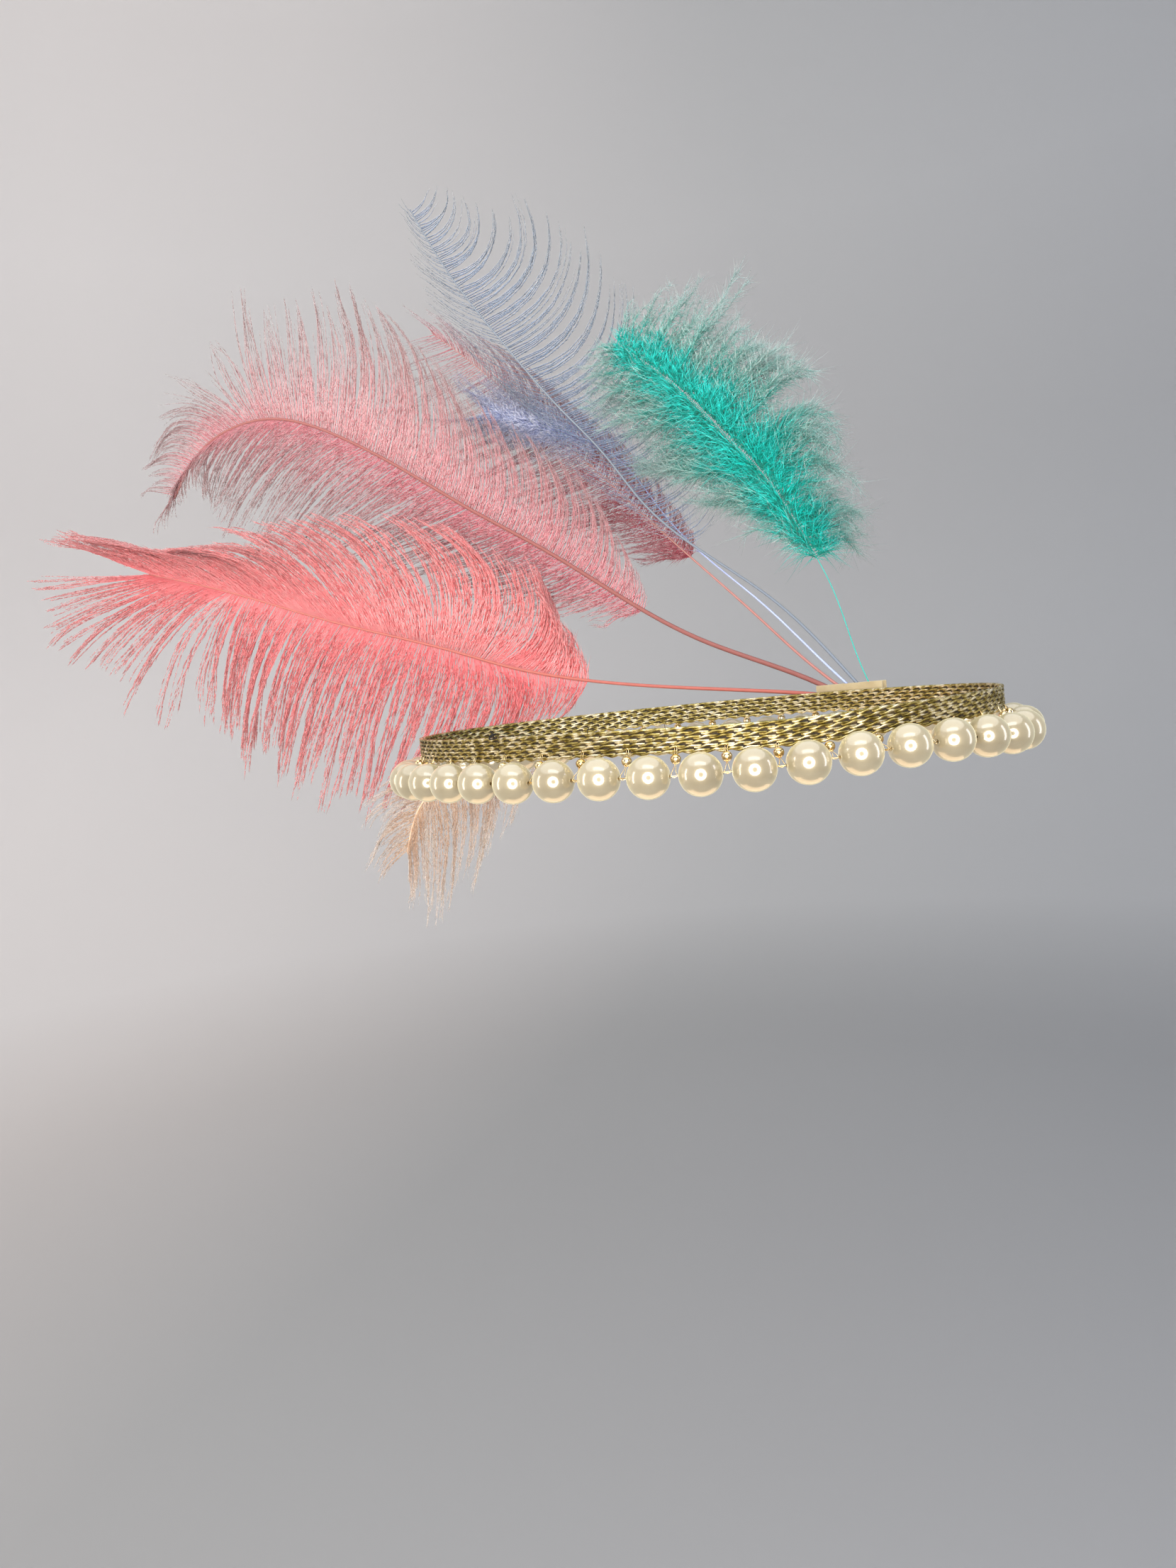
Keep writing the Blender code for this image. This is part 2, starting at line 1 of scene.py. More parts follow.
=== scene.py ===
# %% [markdown]
# # A flapper feather headband
#
# A gold braid band closes round the head. A string of imitation pearls hangs below it, with a
# small gold bead above each gap. Seven dyed plumes fan back from a felt binding at the wearer's
# left temple. This file dresses a model that is already the right size, so its first step
# loads that model. Every piece that is made later takes its place from it.
#
# The frame has X to the wearer's front, Y to the wearer's left and Z up. The origin is the middle
# of the head opening, at the band's mid height. All lengths in tables are in millimetres.

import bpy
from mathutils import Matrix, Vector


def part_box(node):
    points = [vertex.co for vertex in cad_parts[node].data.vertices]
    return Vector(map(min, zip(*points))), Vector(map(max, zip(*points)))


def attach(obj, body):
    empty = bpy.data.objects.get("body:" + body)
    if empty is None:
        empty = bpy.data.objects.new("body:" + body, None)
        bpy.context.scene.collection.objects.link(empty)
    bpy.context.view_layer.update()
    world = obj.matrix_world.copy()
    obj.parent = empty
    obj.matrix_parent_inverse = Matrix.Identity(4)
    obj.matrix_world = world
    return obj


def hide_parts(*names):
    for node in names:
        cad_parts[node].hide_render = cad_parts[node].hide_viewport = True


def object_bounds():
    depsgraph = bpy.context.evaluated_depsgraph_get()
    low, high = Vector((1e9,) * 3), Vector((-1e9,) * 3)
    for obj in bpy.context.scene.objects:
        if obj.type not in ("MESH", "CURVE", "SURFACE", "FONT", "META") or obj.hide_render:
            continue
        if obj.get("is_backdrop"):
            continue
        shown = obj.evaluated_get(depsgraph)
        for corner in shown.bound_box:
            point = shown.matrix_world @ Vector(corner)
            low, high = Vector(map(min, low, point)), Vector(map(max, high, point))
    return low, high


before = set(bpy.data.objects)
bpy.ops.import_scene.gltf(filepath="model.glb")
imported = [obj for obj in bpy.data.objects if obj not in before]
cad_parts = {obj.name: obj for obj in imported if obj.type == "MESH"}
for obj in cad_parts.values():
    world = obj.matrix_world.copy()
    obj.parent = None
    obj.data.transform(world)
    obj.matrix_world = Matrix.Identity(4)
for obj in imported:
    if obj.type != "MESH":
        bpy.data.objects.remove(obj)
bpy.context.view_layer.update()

# %% [markdown]
# ## Helpers for the whole lesson
#
# Blender works in metres, and headwear is measured in millimetres, so one constant turns one
# into the other. Chance is useful for hair-fine things, but it must fall the same way on every
# run. Each piece therefore starts its own numbered sequence of random draws.

# %% Tools of the trade
import math

import bmesh
import bpy
import numpy as np
from mathutils import Matrix, Vector

MM = 0.001
UP = np.array([0.0, 0.0, 1.0])
DEEP = np.array([0.0, 1.0, 0.0])


def linear(hex_colour):
    """Turns an sRGB hex colour into the linear values that a shader wants."""
    values = [int(hex_colour[i:i + 2], 16) / 255 for i in (0, 2, 4)]
    return [v / 12.92 if v <= 0.04045 else ((v + 0.055) / 1.055) ** 2.4 for v in values] + [1.0]


def add_node(material, kind, inputs=None, stops=None, **settings):
    """Adds a shader node, sets its properties, and fills or links its sockets.

    A socket is named by its label or number. A text value is a hex colour, an output socket is
    linked, and anything else is typed in. stops are the colours along a colour ramp.
    """
    tree = material.node_tree
    node = tree.nodes[kind] if kind in tree.nodes else tree.nodes.new(kind)
    for label, value in settings.items():
        setattr(node, label, value)
    for label, value in (inputs or {}).items():
        if isinstance(value, bpy.types.NodeSocket):
            tree.links.new(value, node.inputs[label])
        else:
            node.inputs[label].default_value = linear(value) if isinstance(value, str) else value
    if stops:
        while len(node.color_ramp.elements) < len(stops):
            node.color_ramp.elements.new(1.0)
        for element, (place, colour) in zip(node.color_ramp.elements, stops):
            element.position = place
            element.color = linear(colour)
    return node


def new_material(name):
    """An empty material with its Principled shader, which add_node finds by its own name."""
    material = bpy.data.materials.new(name)
    material.use_nodes = True
    return material


SHADER = "Principled BSDF"


def select_only(piece):
    bpy.ops.object.select_all(action="DESELECT")
    piece.select_set(True)
    bpy.context.view_layer.objects.active = piece


def dress(piece, slot, *nodes):
    """Every finished piece rides on the headband and stands for one or more sized solids."""
    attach(piece, "root")
    if nodes:
        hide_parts(*nodes)
    triangles = sum(len(face.vertices) - 2 for face in piece.data.polygons)
    print(piece.name, "has", triangles, "triangles")


# %% [markdown]
# ## The studio
#
# The headband is looked at from the wearer's right, a little in front of the ear and just above
# the band, from about 39 cm away with a wide lens. Near things look large at that distance, which
# is why the pearls at the front of the row are so much bigger than those at the back.
#
# A camera's rotation is three directions: where its right side, its top and its back point. The
# three were worked out from the headband itself, so they are typed in as a matrix.

# %% The camera
PHOTO_SIZE = (1659, 2212)
FOCAL_PIXELS = 1660.97
CAMERA_PLACE = (117.99, -373.57, 17.18)
CAMERA_RIGHT = (0.9189, 0.3812, -0.1017)
CAMERA_UP = (0.0597, 0.1205, 0.9909)
CAMERA_AHEAD = (-0.3900, 0.9166, -0.0880)

camera_data = bpy.data.cameras.new("camera")
camera_data.sensor_width = 36.0
camera_data.lens = FOCAL_PIXELS / max(PHOTO_SIZE) * camera_data.sensor_width
camera_data.clip_start = 0.01
camera_data.clip_end = 20.0
camera = bpy.data.objects.new("camera", camera_data)
bpy.context.scene.collection.objects.link(camera)
camera_axes = Matrix((CAMERA_RIGHT, CAMERA_UP, tuple(-c for c in CAMERA_AHEAD))).transposed()
camera.matrix_world = Matrix.Translation(Vector(CAMERA_PLACE) * MM) @ camera_axes.to_4x4()
bpy.context.scene.camera = camera
print("lens", round(camera_data.lens, 2), "mm")

# %% [markdown]
# The backdrop is a wide shallow bowl of pale paper: a flat floor that curves up into a wall all
# the way round. There is no corner to see from any side, as with the paper rolls of a studio.
# It is one profile line, spun about the middle. It isn't part of the headband, so it is staged.

# %% The paper bowl
BOWL_CENTRE = (-80.0, 20.0)
FLOOR_HEIGHT = -380.0
FLOOR_RADIUS = 800.0
BOWL_CURVE = 700.0
WALL_TOP = 1500.0

bowl_mesh = bpy.data.meshes.new("paper_backdrop")
bowl_body = bmesh.new()
bowl_profile = [(0.0, FLOOR_HEIGHT), (FLOOR_RADIUS / 2, FLOOR_HEIGHT), (FLOOR_RADIUS, FLOOR_HEIGHT)]
for step in range(1, 13):
    turn = math.radians(90 * step / 12)
    bowl_profile.append((FLOOR_RADIUS + BOWL_CURVE * math.sin(turn),
                         FLOOR_HEIGHT + BOWL_CURVE * (1 - math.cos(turn))))
bowl_profile.append((FLOOR_RADIUS + BOWL_CURVE, WALL_TOP))
bowl_points = [bowl_body.verts.new((reach * MM, 0, height * MM)) for reach, height in bowl_profile]
bowl_edges = [bowl_body.edges.new(pair) for pair in zip(bowl_points[:-1], bowl_points[1:])]
bmesh.ops.spin(bowl_body, geom=bowl_points + bowl_edges, cent=(0, 0, 0), axis=(0, 0, 1),
               angle=2 * math.pi, steps=96, use_merge=True)
bmesh.ops.remove_doubles(bowl_body, verts=bowl_body.verts, dist=0.00001)
bmesh.ops.translate(bowl_body, verts=bowl_body.verts, vec=(BOWL_CENTRE[0] * MM, BOWL_CENTRE[1] * MM, 0))
bmesh.ops.recalc_face_normals(bowl_body, faces=bowl_body.faces)
for face in bowl_body.faces:
    face.smooth = True
bowl_body.to_mesh(bowl_mesh)
bowl_body.free()
bowl = bpy.data.objects.new("paper_backdrop", bowl_mesh)
bpy.context.scene.collection.objects.link(bowl)
bowl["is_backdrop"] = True
print("backdrop", round(2 * (FLOOR_RADIUS + BOWL_CURVE)), "mm across")

# %% [markdown]
# Matt seamless paper is pulp with a faint mottled tooth and an even pale grey. Light and shade are
# painted on it: lighter and warmer towards the wearer's back, where the warm light falls, a little
# cooler and darker towards the front, where less of it falls, and darker on the floor and high up.

# %% Backdrop paper with painted light and shade
paper = new_material("seamless_paper_matt_painted_shade")
paper_spot = add_node(paper, "ShaderNodeTexCoord")
paper_place = add_node(paper, "ShaderNodeSeparateXYZ", {0: paper_spot.outputs["Object"]})
paper_side = add_node(paper, "ShaderNodeMapRange", {
    0: paper_place.outputs["X"], "From Min": -1.2, "From Max": 0.6, "To Min": 0.0, "To Max": 1.0})
# Painted light: the paper is painted lighter and warmer towards the back, cooler and darker towards the front.
paper_painted_light_tone = add_node(paper, "ShaderNodeValToRGB", {0: paper_side.outputs[0]},
                      stops=[(0.0, "F3EEEB"), (0.5, "CCCCCC"), (1.0, "B0B3B8")])
paper_height = add_node(paper, "ShaderNodeMapRange", {
    0: paper_place.outputs["Z"], "From Min": -0.4, "From Max": 1.1, "To Min": 0.0, "To Max": 1.0})
# Painted shade: the paper is painted darker on the floor and high up.
paper_painted_shade_by_height = add_node(paper, "ShaderNodeValToRGB", {0: paper_height.outputs[0]},
                     stops=[(0.013, "C4C4C4"), (0.067, "7C7C7C"), (0.267, "454545"),
                            (0.467, "000000"), (0.733, "272727"), (0.967, "848484")])
# The colour of the painted shade, a little lighter and warmer towards the back.
paper_painted_shade_colour = add_node(paper, "ShaderNodeValToRGB", {0: paper_side.outputs[0]},
                          stops=[(0.15, "BCB2AC"), (0.45, "787878"), (1.0, "6E7177")])
paper_with_painted_shade = add_node(paper, "ShaderNodeMix", {
    0: paper_painted_shade_by_height.outputs["Color"], 6: paper_painted_light_tone.outputs["Color"],
    7: paper_painted_shade_colour.outputs["Color"]}, data_type="RGBA")
paper_tooth = add_node(paper, "ShaderNodeTexNoise", {
    "Vector": paper_spot.outputs["Object"], "Scale": 220.0, "Detail": 3.0})
paper_bump = add_node(paper, "ShaderNodeBump", {
    "Height": paper_tooth.outputs["Fac"], "Strength": 0.08, "Distance": 0.0004})
add_node(paper, SHADER, {"Base Color": paper_with_painted_shade.outputs[2], "Roughness": 0.95,
                         "Specular IOR Level": 0.1, "Normal": paper_bump.outputs["Normal"]})
bowl_mesh.materials.append(paper)

# %% [markdown]
# Pearls show their lights as in small mirrors, so the lights are chosen by their reflections:
# a ring round the lens that leaves a bright dot with a darker middle, a wide panel above for the
# oval highlight, a tall panel at each side for the soft upright streaks, and a warm one below
# that fills the undersides. None of them is seen by the camera. A dull black card in front of
# the ring light's middle makes it a ring.
# The last and largest panel lights the plumes alone. A photographer would keep it off the pearls
# with black flags; here it is linked to the plumes once they are made.

# %% Studio lights
LIGHTS = (
    # name, shape, place, aimed at, width, height, power in watts, colour
    ("ring_light", "DISK", (140, -425, 14), (60, -60, -5), 420, 420, 2.8, "FFF8F0"),
    ("overhead_panel", "RECTANGLE", (90, -215, 310), (60, -60, -10), 330, 120, 0.22, "EAF2FF"),
    ("left_panel", "RECTANGLE", (-560, -330, 60), (0, -40, 0), 120, 500, 0.8, "FFF5EA"),
    ("right_panel", "RECTANGLE", (560, 60, 60), (0, -20, 0), 120, 500, 0.6, "F4F4FF"),
    ("bounce_panel", "RECTANGLE", (-20, 80, -330), (40, -60, -10), 500, 300, 0.7, "FFDCB2"),
    ("feather_panel", "RECTANGLE", (-40, -560, 230), (-100, 60, 60), 700, 500, 10.0, "FFF8F0"),
)

for name, shape, place, target, width, height, power, colour in LIGHTS:
    light_data = bpy.data.lights.new(name, "AREA")
    light_data.shape = shape
    light_data.size = width * MM
    if shape == "RECTANGLE":
        light_data.size_y = height * MM
    light_data.energy = power
    light_data.color = linear(colour)[:3]
    light = bpy.data.objects.new(name, light_data)
    bpy.context.scene.collection.objects.link(light)
    light.location = Vector(place) * MM
    light.rotation_euler = (Vector(target) - Vector(place)).to_track_quat("-Z", "Y").to_euler()
    light.visible_camera = False
    light.visible_glossy = name != "feather_panel"
print(len(LIGHTS), "lights")

# %% The card that makes the ring
CARD_RADIUS = 75.0
CARD_PLACE = (137.0, -415.0, 14.0)

bpy.ops.object.select_all(action="DESELECT")
bpy.ops.mesh.primitive_circle_add(vertices=48, radius=CARD_RADIUS * MM, fill_type="NGON")
card = bpy.context.object
card.name = "light_card"
bpy.ops.object.mode_set(mode="EDIT")
bpy.ops.mesh.inset(thickness=CARD_RADIUS * MM * 0.1, depth=0.002)
bpy.ops.object.mode_set(mode="OBJECT")
card.location = Vector(CARD_PLACE) * MM
card.rotation_euler = (Vector(CARD_PLACE) - Vector((60, -60, -5))).to_track_quat("Z", "Y").to_euler()
card.visible_camera = False
card_felt = new_material("flock_card_black")
card_grain = add_node(card_felt, "ShaderNodeTexNoise", {"Scale": 400.0})
card_tone = add_node(card_felt, "ShaderNodeValToRGB", {0: card_grain.outputs["Fac"]},
                     stops=[(0.3, "161514"), (0.7, "242220")])
add_node(card_felt, SHADER, {"Base Color": card_tone.outputs["Color"], "Roughness": 0.9})
card.data.materials.append(card_felt)
card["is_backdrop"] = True

# %% [markdown]
# The open sky above the bowl is a plain pale grey, which fills every shadow softly. Colours are
# shown without a film look, so that a dyed feather comes out in the colour that was typed in.

# %% Ambient light and view
sky = bpy.data.worlds.new("soft_studio")
sky.use_nodes = True
sky.node_tree.nodes["Background"].inputs["Color"].default_value = linear("EDEFF2")
sky.node_tree.nodes["Background"].inputs["Strength"].default_value = 1.6
bpy.context.scene.world = sky
bpy.context.scene.view_settings.view_transform = "Standard"
bpy.context.scene.view_settings.look = "None"

# %% [markdown]
# ## The loop round the head
#
# Everything follows the same oval: 190 by 142 mm inside, grown outwards by a few millimetres.
# This helper gives points on the grown oval at distances along it, and the directions that point
# straight out, so that the braid, the thread and the pearls all keep their clearances.

# %% The oval
HEAD_HALF_LENGTH = 95.0
HEAD_HALF_WIDTH = 71.0
OVAL_STEPS = 2880


def oval(offset, shares):
    """Points and outward directions on the grown oval, at shares of its length from 0 to 1."""
    a = HEAD_HALF_LENGTH + offset
    b = HEAD_HALF_WIDTH + offset
    angle = np.linspace(-math.pi / 2, 1.5 * math.pi, OVAL_STEPS + 1)
    x, y = a * np.cos(angle), b * np.sin(angle)
    run = np.concatenate([[0.0], np.cumsum(np.hypot(np.diff(x), np.diff(y)))])
    at = np.interp(np.mod(shares, 1.0) * run[-1], run, angle)
    points = np.stack([a * np.cos(at), b * np.sin(at), np.zeros(len(at))], axis=1)
    outward = np.stack([b * np.cos(at), a * np.sin(at), np.zeros(len(at))], axis=1)
    return points, outward / np.linalg.norm(outward, axis=1)[:, None], run[-1]


# The band dips over the right temple. Columns: distance from the middle of the right side, drop.
BAND_DROP = (
    (-131, 0.2), (-58, 0.55), (-30, 0.75), (-11, 0.95), (2, 1.2), (16, 1.6), (29, 2.0), (43, 2.3),
    (59, 2.0), (74, 1.4), (90, 1.1), (102, 0.9), (131, 0.6), (262, 0.0),
)


def band_drop(shares):
    """How far the band hangs below its highest line, at shares of the way round."""
    length = oval(0.0, np.zeros(1))[2]
    table = np.array(BAND_DROP)
    return np.interp(np.asarray(shares) * length, table[:, 0], table[:, 1], period=length)


print("band runs", round(oval(1.05, np.zeros(1))[2], 1), "mm round the head")

# %% [markdown]
# ## The gold braid
#
# The band is a flat braid of metallic yarn: rows of slanting leaf-shaped strands with dark gaps
# between them. Each row is drawn as a cord of two twisted plies, because the front half of a ply
# is exactly such a slanting leaf. Rows next to each other sway in opposite steps, which opens the
# dark gaps in a brick pattern. A modeller could twist one repeat by hand and array it, but the
# sway has to close round an oval, so the strands are computed as tubes from arrays.

# %% A tube along any path
def tube(path, radius, sides, closed, first):
    """Points, faces and UVs of a tube; first is a direction across the path for every point."""
    count = len(path)
    ahead = np.roll(path, -1, axis=0) - np.roll(path, 1, axis=0)
    if not closed:
        ahead[0] = path[1] - path[0]
        ahead[-1] = path[-1] - path[-2]
    ahead /= np.linalg.norm(ahead, axis=1)[:, None]
    across = first - ahead * np.sum(first * ahead, axis=1)[:, None]
    across /= np.linalg.norm(across, axis=1)[:, None]
    other = np.cross(ahead, across)
    turn = 2 * math.pi * np.arange(sides) / sides
    spokes = np.cos(turn)[None, :, None] * across[:, None] + np.sin(turn)[None, :, None] * other[:, None]
    radius = np.broadcast_to(np.asarray(radius, dtype=float), (count,))
    points = path[:, None] + spokes * radius[:, None, None]
    rows = np.arange(count if closed else count - 1)
    here = rows[:, None] * sides + np.arange(sides)[None, :]
    beside = rows[:, None] * sides + (np.arange(sides)[None, :] + 1) % sides
    step = (rows[:, None] + 1) % count * sides - rows[:, None] * sides
    faces = np.stack([here, beside, beside + step, here + step], axis=2).reshape(-1, 4)
    faces = [tuple(face) for face in faces.tolist()]
    if not closed:
        faces.append(tuple(range(sides - 1, -1, -1)))
        faces.append(tuple(range((count - 1) * sides, count * sides)))
    return points.reshape(-1, 3), faces


def piece_from(name, points, faces, material, smooth=True):
    """A mesh object at the origin from points in millimetres."""
    mesh = bpy.data.meshes.new(name)
    mesh.from_pydata((np.asarray(points) * MM).tolist(), [], faces)
    mesh.polygons.foreach_set("use_smooth", [smooth] * len(mesh.polygons))
    mesh.materials.append(material)
    piece = bpy.data.objects.new(name, mesh)
    bpy.context.scene.collection.objects.link(piece)
    return piece


# %% [markdown]
# Metallic yarn is a thin film of metal-coated polyester wound round a core. It gives the eye a
# pale brassy gold that flashes on every leaf and falls to olive brown between. The film's edges
# are drawn as fine lines along each ply; real ones are 0.1 mm apart, and 0.2 mm shows better.

# %% Braid materials
LINES_PER_TURN = 6.0

yarn = new_material("lurex_yarn_twisted")
yarn_spot = add_node(yarn, "ShaderNodeUVMap", uv_map="UVMap")
yarn_lines = add_node(yarn, "ShaderNodeMapping", {
    "Vector": yarn_spot.outputs["UV"], "Scale": (0.35, LINES_PER_TURN, 1.0)})
yarn_wave = add_node(yarn, "ShaderNodeTexWave", {
    "Vector": yarn_lines.outputs["Vector"], "Scale": 0.318, "Distortion": 1.2, "Detail": 1.0},
    bands_direction="Y")
yarn_place = add_node(yarn, "ShaderNodeTexCoord")
yarn_patch = add_node(yarn, "ShaderNodeTexNoise", {
    "Vector": yarn_place.outputs["Object"], "Scale": 420.0, "Detail": 2.0})
yarn_tone = add_node(yarn, "ShaderNodeValToRGB", {0: yarn_patch.outputs["Fac"]},
                     stops=[(0.30, "75632A"), (0.48, "BBA967"), (0.66, "FBF0D0")])
yarn_rough = add_node(yarn, "ShaderNodeMapRange", {
    0: yarn_wave.outputs["Fac"], "To Min": 0.26, "To Max": 0.42})
yarn_bump = add_node(yarn, "ShaderNodeBump", {
    "Height": yarn_wave.outputs["Fac"], "Strength": 0.5, "Distance": 0.00006})
add_node(yarn, SHADER, {"Base Color": yarn_tone.outputs["Color"], "Metallic": 1.0,
                        "Roughness": yarn_rough.outputs[0], "Normal": yarn_bump.outputs["Normal"]})

# The dark ribbon behind the rows: its colour is painted shade, for the shadow deep inside the braid.
gap_shade_sheet = new_material("braid_core_painted_shade")
gap_shade_place = add_node(gap_shade_sheet, "ShaderNodeTexCoord")
gap_shade_patch = add_node(gap_shade_sheet, "ShaderNodeTexNoise", {
    "Vector": gap_shade_place.outputs["Object"], "Scale": 900.0, "Detail": 2.0})
# Painted shade: near-black brown that shows in the gaps between the leaves.
gap_shade_tone = add_node(gap_shade_sheet, "ShaderNodeValToRGB", {0: gap_shade_patch.outputs["Fac"]},
                        stops=[(0.35, "1E1608"), (0.65, "4A3A18")])
gap_shade_bump = add_node(gap_shade_sheet, "ShaderNodeBump", {
    "Height": gap_shade_patch.outputs["Fac"], "Strength": 0.6, "Distance": 0.0001})
add_node(gap_shade_sheet, SHADER, {"Base Color": gap_shade_tone.outputs["Color"], "Roughness": 0.7,
                           "Normal": gap_shade_bump.outputs["Normal"]})

# %% The twisted rows
BRAID_MIDDLE = 1.05
BRAID_ROWS = 6
BRAID_ROW_STEP = 1.22
BRAID_TURNS = 60
BRAID_STEPS_PER_TURN = 12
PLY_SWING_UP = 0.30
PLY_SWING_OUT = 0.30
PLY_RADIUS = 0.38
ROW_SWAY = 0.14
PLY_SIDES = 6

braid_points, braid_faces, braid_uvs = [], [], []
braid_steps = BRAID_TURNS * BRAID_STEPS_PER_TURN
braid_shares = np.arange(braid_steps) / braid_steps
braid_line, braid_out, braid_length = oval(BRAID_MIDDLE, braid_shares)
for row in range(BRAID_ROWS):
    height = (row - (BRAID_ROWS - 1) / 2) * BRAID_ROW_STEP
    for ply in range(2):
        turn = 2 * math.pi * (BRAID_TURNS * braid_shares + ply / 2 + (row % 2) / 4)
        sway = ROW_SWAY * np.cos(2 * turn)
        rise = height + PLY_SWING_UP * np.sin(turn) + sway
        swing = PLY_SWING_OUT * np.cos(turn)
        path = braid_line + braid_out * swing[:, None] + UP * (rise - band_drop(braid_shares))[:, None]
        points, faces = tube(path, PLY_RADIUS, PLY_SIDES, True, np.broadcast_to(UP, path.shape))
        start = len(braid_points) * braid_steps * PLY_SIDES
        braid_points.append(points)
        braid_faces += [tuple(start + corner for corner in face) for face in faces]
        run = braid_shares * braid_length
        for i in range(braid_steps):
            ends = (run[i], run[i] + braid_length / braid_steps)
            for j in range(PLY_SIDES):
                low, high = j / PLY_SIDES, (j + 1) / PLY_SIDES
                braid_uvs += [ends[0], low, ends[0], high, ends[1], high, ends[1], low]
braid = piece_from("braid_band", np.concatenate(braid_points), braid_faces, yarn)
braid.data.uv_layers.new(name="UVMap").data.foreach_set("uv", braid_uvs)
print("one ply makes a leaf every", round(braid_length / BRAID_TURNS / 2, 2), "mm")

# %% [markdown]
# Behind the rows lies a thin dark ribbon, and it is what shows in the gaps. Its near-black brown
# is painted shade, for the shadow deep inside the braid. It starts as a circle of edges that is
# scaled to the oval and extruded upwards, then a Solidify modifier gives it its thickness.

# %% The dark core ribbon of painted shade
CORE_HALF_HEIGHT = 3.2
CORE_THICKNESS = 0.3

bpy.ops.object.select_all(action="DESELECT")
bpy.ops.mesh.primitive_circle_add(vertices=160, radius=1.0, fill_type="NOTHING")
core = bpy.context.object
core.name = "braid_core"
bpy.ops.object.mode_set(mode="EDIT")
bpy.ops.mesh.select_all(action="SELECT")
core_size = ((HEAD_HALF_LENGTH + BRAID_MIDDLE) * MM, (HEAD_HALF_WIDTH + BRAID_MIDDLE) * MM, 1)
bpy.ops.transform.resize(value=core_size)
bpy.ops.transform.translate(value=(0, 0, -CORE_HALF_HEIGHT * MM))
bpy.ops.mesh.extrude_region_move(TRANSFORM_OT_translate={"value": (0, 0, 2 * CORE_HALF_HEIGHT * MM)})
bpy.ops.mesh.select_all(action="SELECT")
bpy.ops.mesh.normals_make_consistent(inside=False)
bpy.ops.object.mode_set(mode="OBJECT")
wall = core.modifiers.new("thickness", "SOLIDIFY")
wall.thickness = CORE_THICKNESS * MM
wall.offset = 0.0
bpy.ops.object.modifier_apply(modifier=wall.name)
for corner in core.data.vertices:
    gap = np.linalg.norm(braid_line[:, :2] * MM - np.array(corner.co[:2]), axis=1)
    corner.co.z -= float(band_drop(braid_shares[np.argmin(gap)])) * MM
core.data.materials.append(gap_shade_sheet)
select_only(core)
braid.select_set(True)
bpy.context.view_layer.objects.active = braid
bpy.ops.object.join()
dress(braid, "gold_braid", "band")

# %% [markdown]
# ## The pearls
#
# An imitation pearl is a glass or plastic ball with a bore, dipped in pearl lacquer. One is
# modelled by hand: a sphere loses its two poles, the round openings are drawn in to the size of
# the bore, and the two rims are bridged through the middle. It is then copied forty times. Each
# copy takes its place from its own solid, and its bore from the line to its neighbours.

# %% One drilled bead
def drilled_bead(name, diameter, bore, segments, rings, squash=1.0):
    """A round bead on Z with a bore right through it, size in millimetres."""
    radius = diameter / 2 * MM
    bpy.ops.object.select_all(action="DESELECT")
    bpy.ops.mesh.primitive_uv_sphere_add(segments=segments, ring_count=rings, radius=radius)
    bead = bpy.context.object
    bead.name = name
    bpy.ops.object.mode_set(mode="EDIT")
    bpy.ops.mesh.select_mode(type="VERT")
    bpy.ops.mesh.select_all(action="DESELECT")
    body = bmesh.from_edit_mesh(bead.data)
    for corner in body.verts:
        corner.select = abs(corner.co.z) > radius * 0.9999
    body.select_flush(True)
    bmesh.update_edit_mesh(bead.data)
    bpy.ops.mesh.delete(type="VERT")
    rim_height = radius * math.cos(math.pi / rings)
    bpy.ops.mesh.select_all(action="DESELECT")
    body = bmesh.from_edit_mesh(bead.data)
    for corner in body.verts:
        corner.select = abs(corner.co.z) > rim_height * 0.999
    body.select_flush(True)
    bmesh.update_edit_mesh(bead.data)
    bpy.ops.mesh.extrude_region()
    shrink = bore / 2 * MM / (radius * math.sin(math.pi / rings))
    bpy.ops.transform.resize(value=(shrink, shrink, 0.99))
    bpy.ops.mesh.bridge_edge_loops()
    bpy.ops.mesh.select_all(action="SELECT")
    bpy.ops.transform.resize(value=(1, 1, squash))
    bpy.ops.mesh.normals_make_consistent(inside=False)
    bpy.ops.object.mode_set(mode="OBJECT")
    bpy.ops.object.shade_smooth()
    return bead


def placed_copy(model, name, axis, middle, material):
    """A copy of a bead with its own mesh, its bore along axis, and its place in its mesh."""
    bead = model.copy()
    bead.data = model.data.copy()
    bead.name = name
    turn = Vector(axis).to_track_quat("Z", "Y").to_matrix().to_4x4()
    bead.data.transform(Matrix.Translation(Vector(middle) * MM) @ turn)
    bead.data.materials.clear()
    bead.data.materials.append(material)
    bpy.context.scene.collection.objects.link(bead)
    return bead


# %% [markdown]
# The lacquer is mica flakes in clear varnish over a cream ball. The flakes give a broad soft
# glow round each light, and the varnish gives a second, needle-sharp one on top. At its edge
# a pearl looks paler and warmer, because there the eye looks through more of the varnish; a
# sheen layer does the same. A soft cloud of tone and tiny bumps keep the balls from looking
# computed.

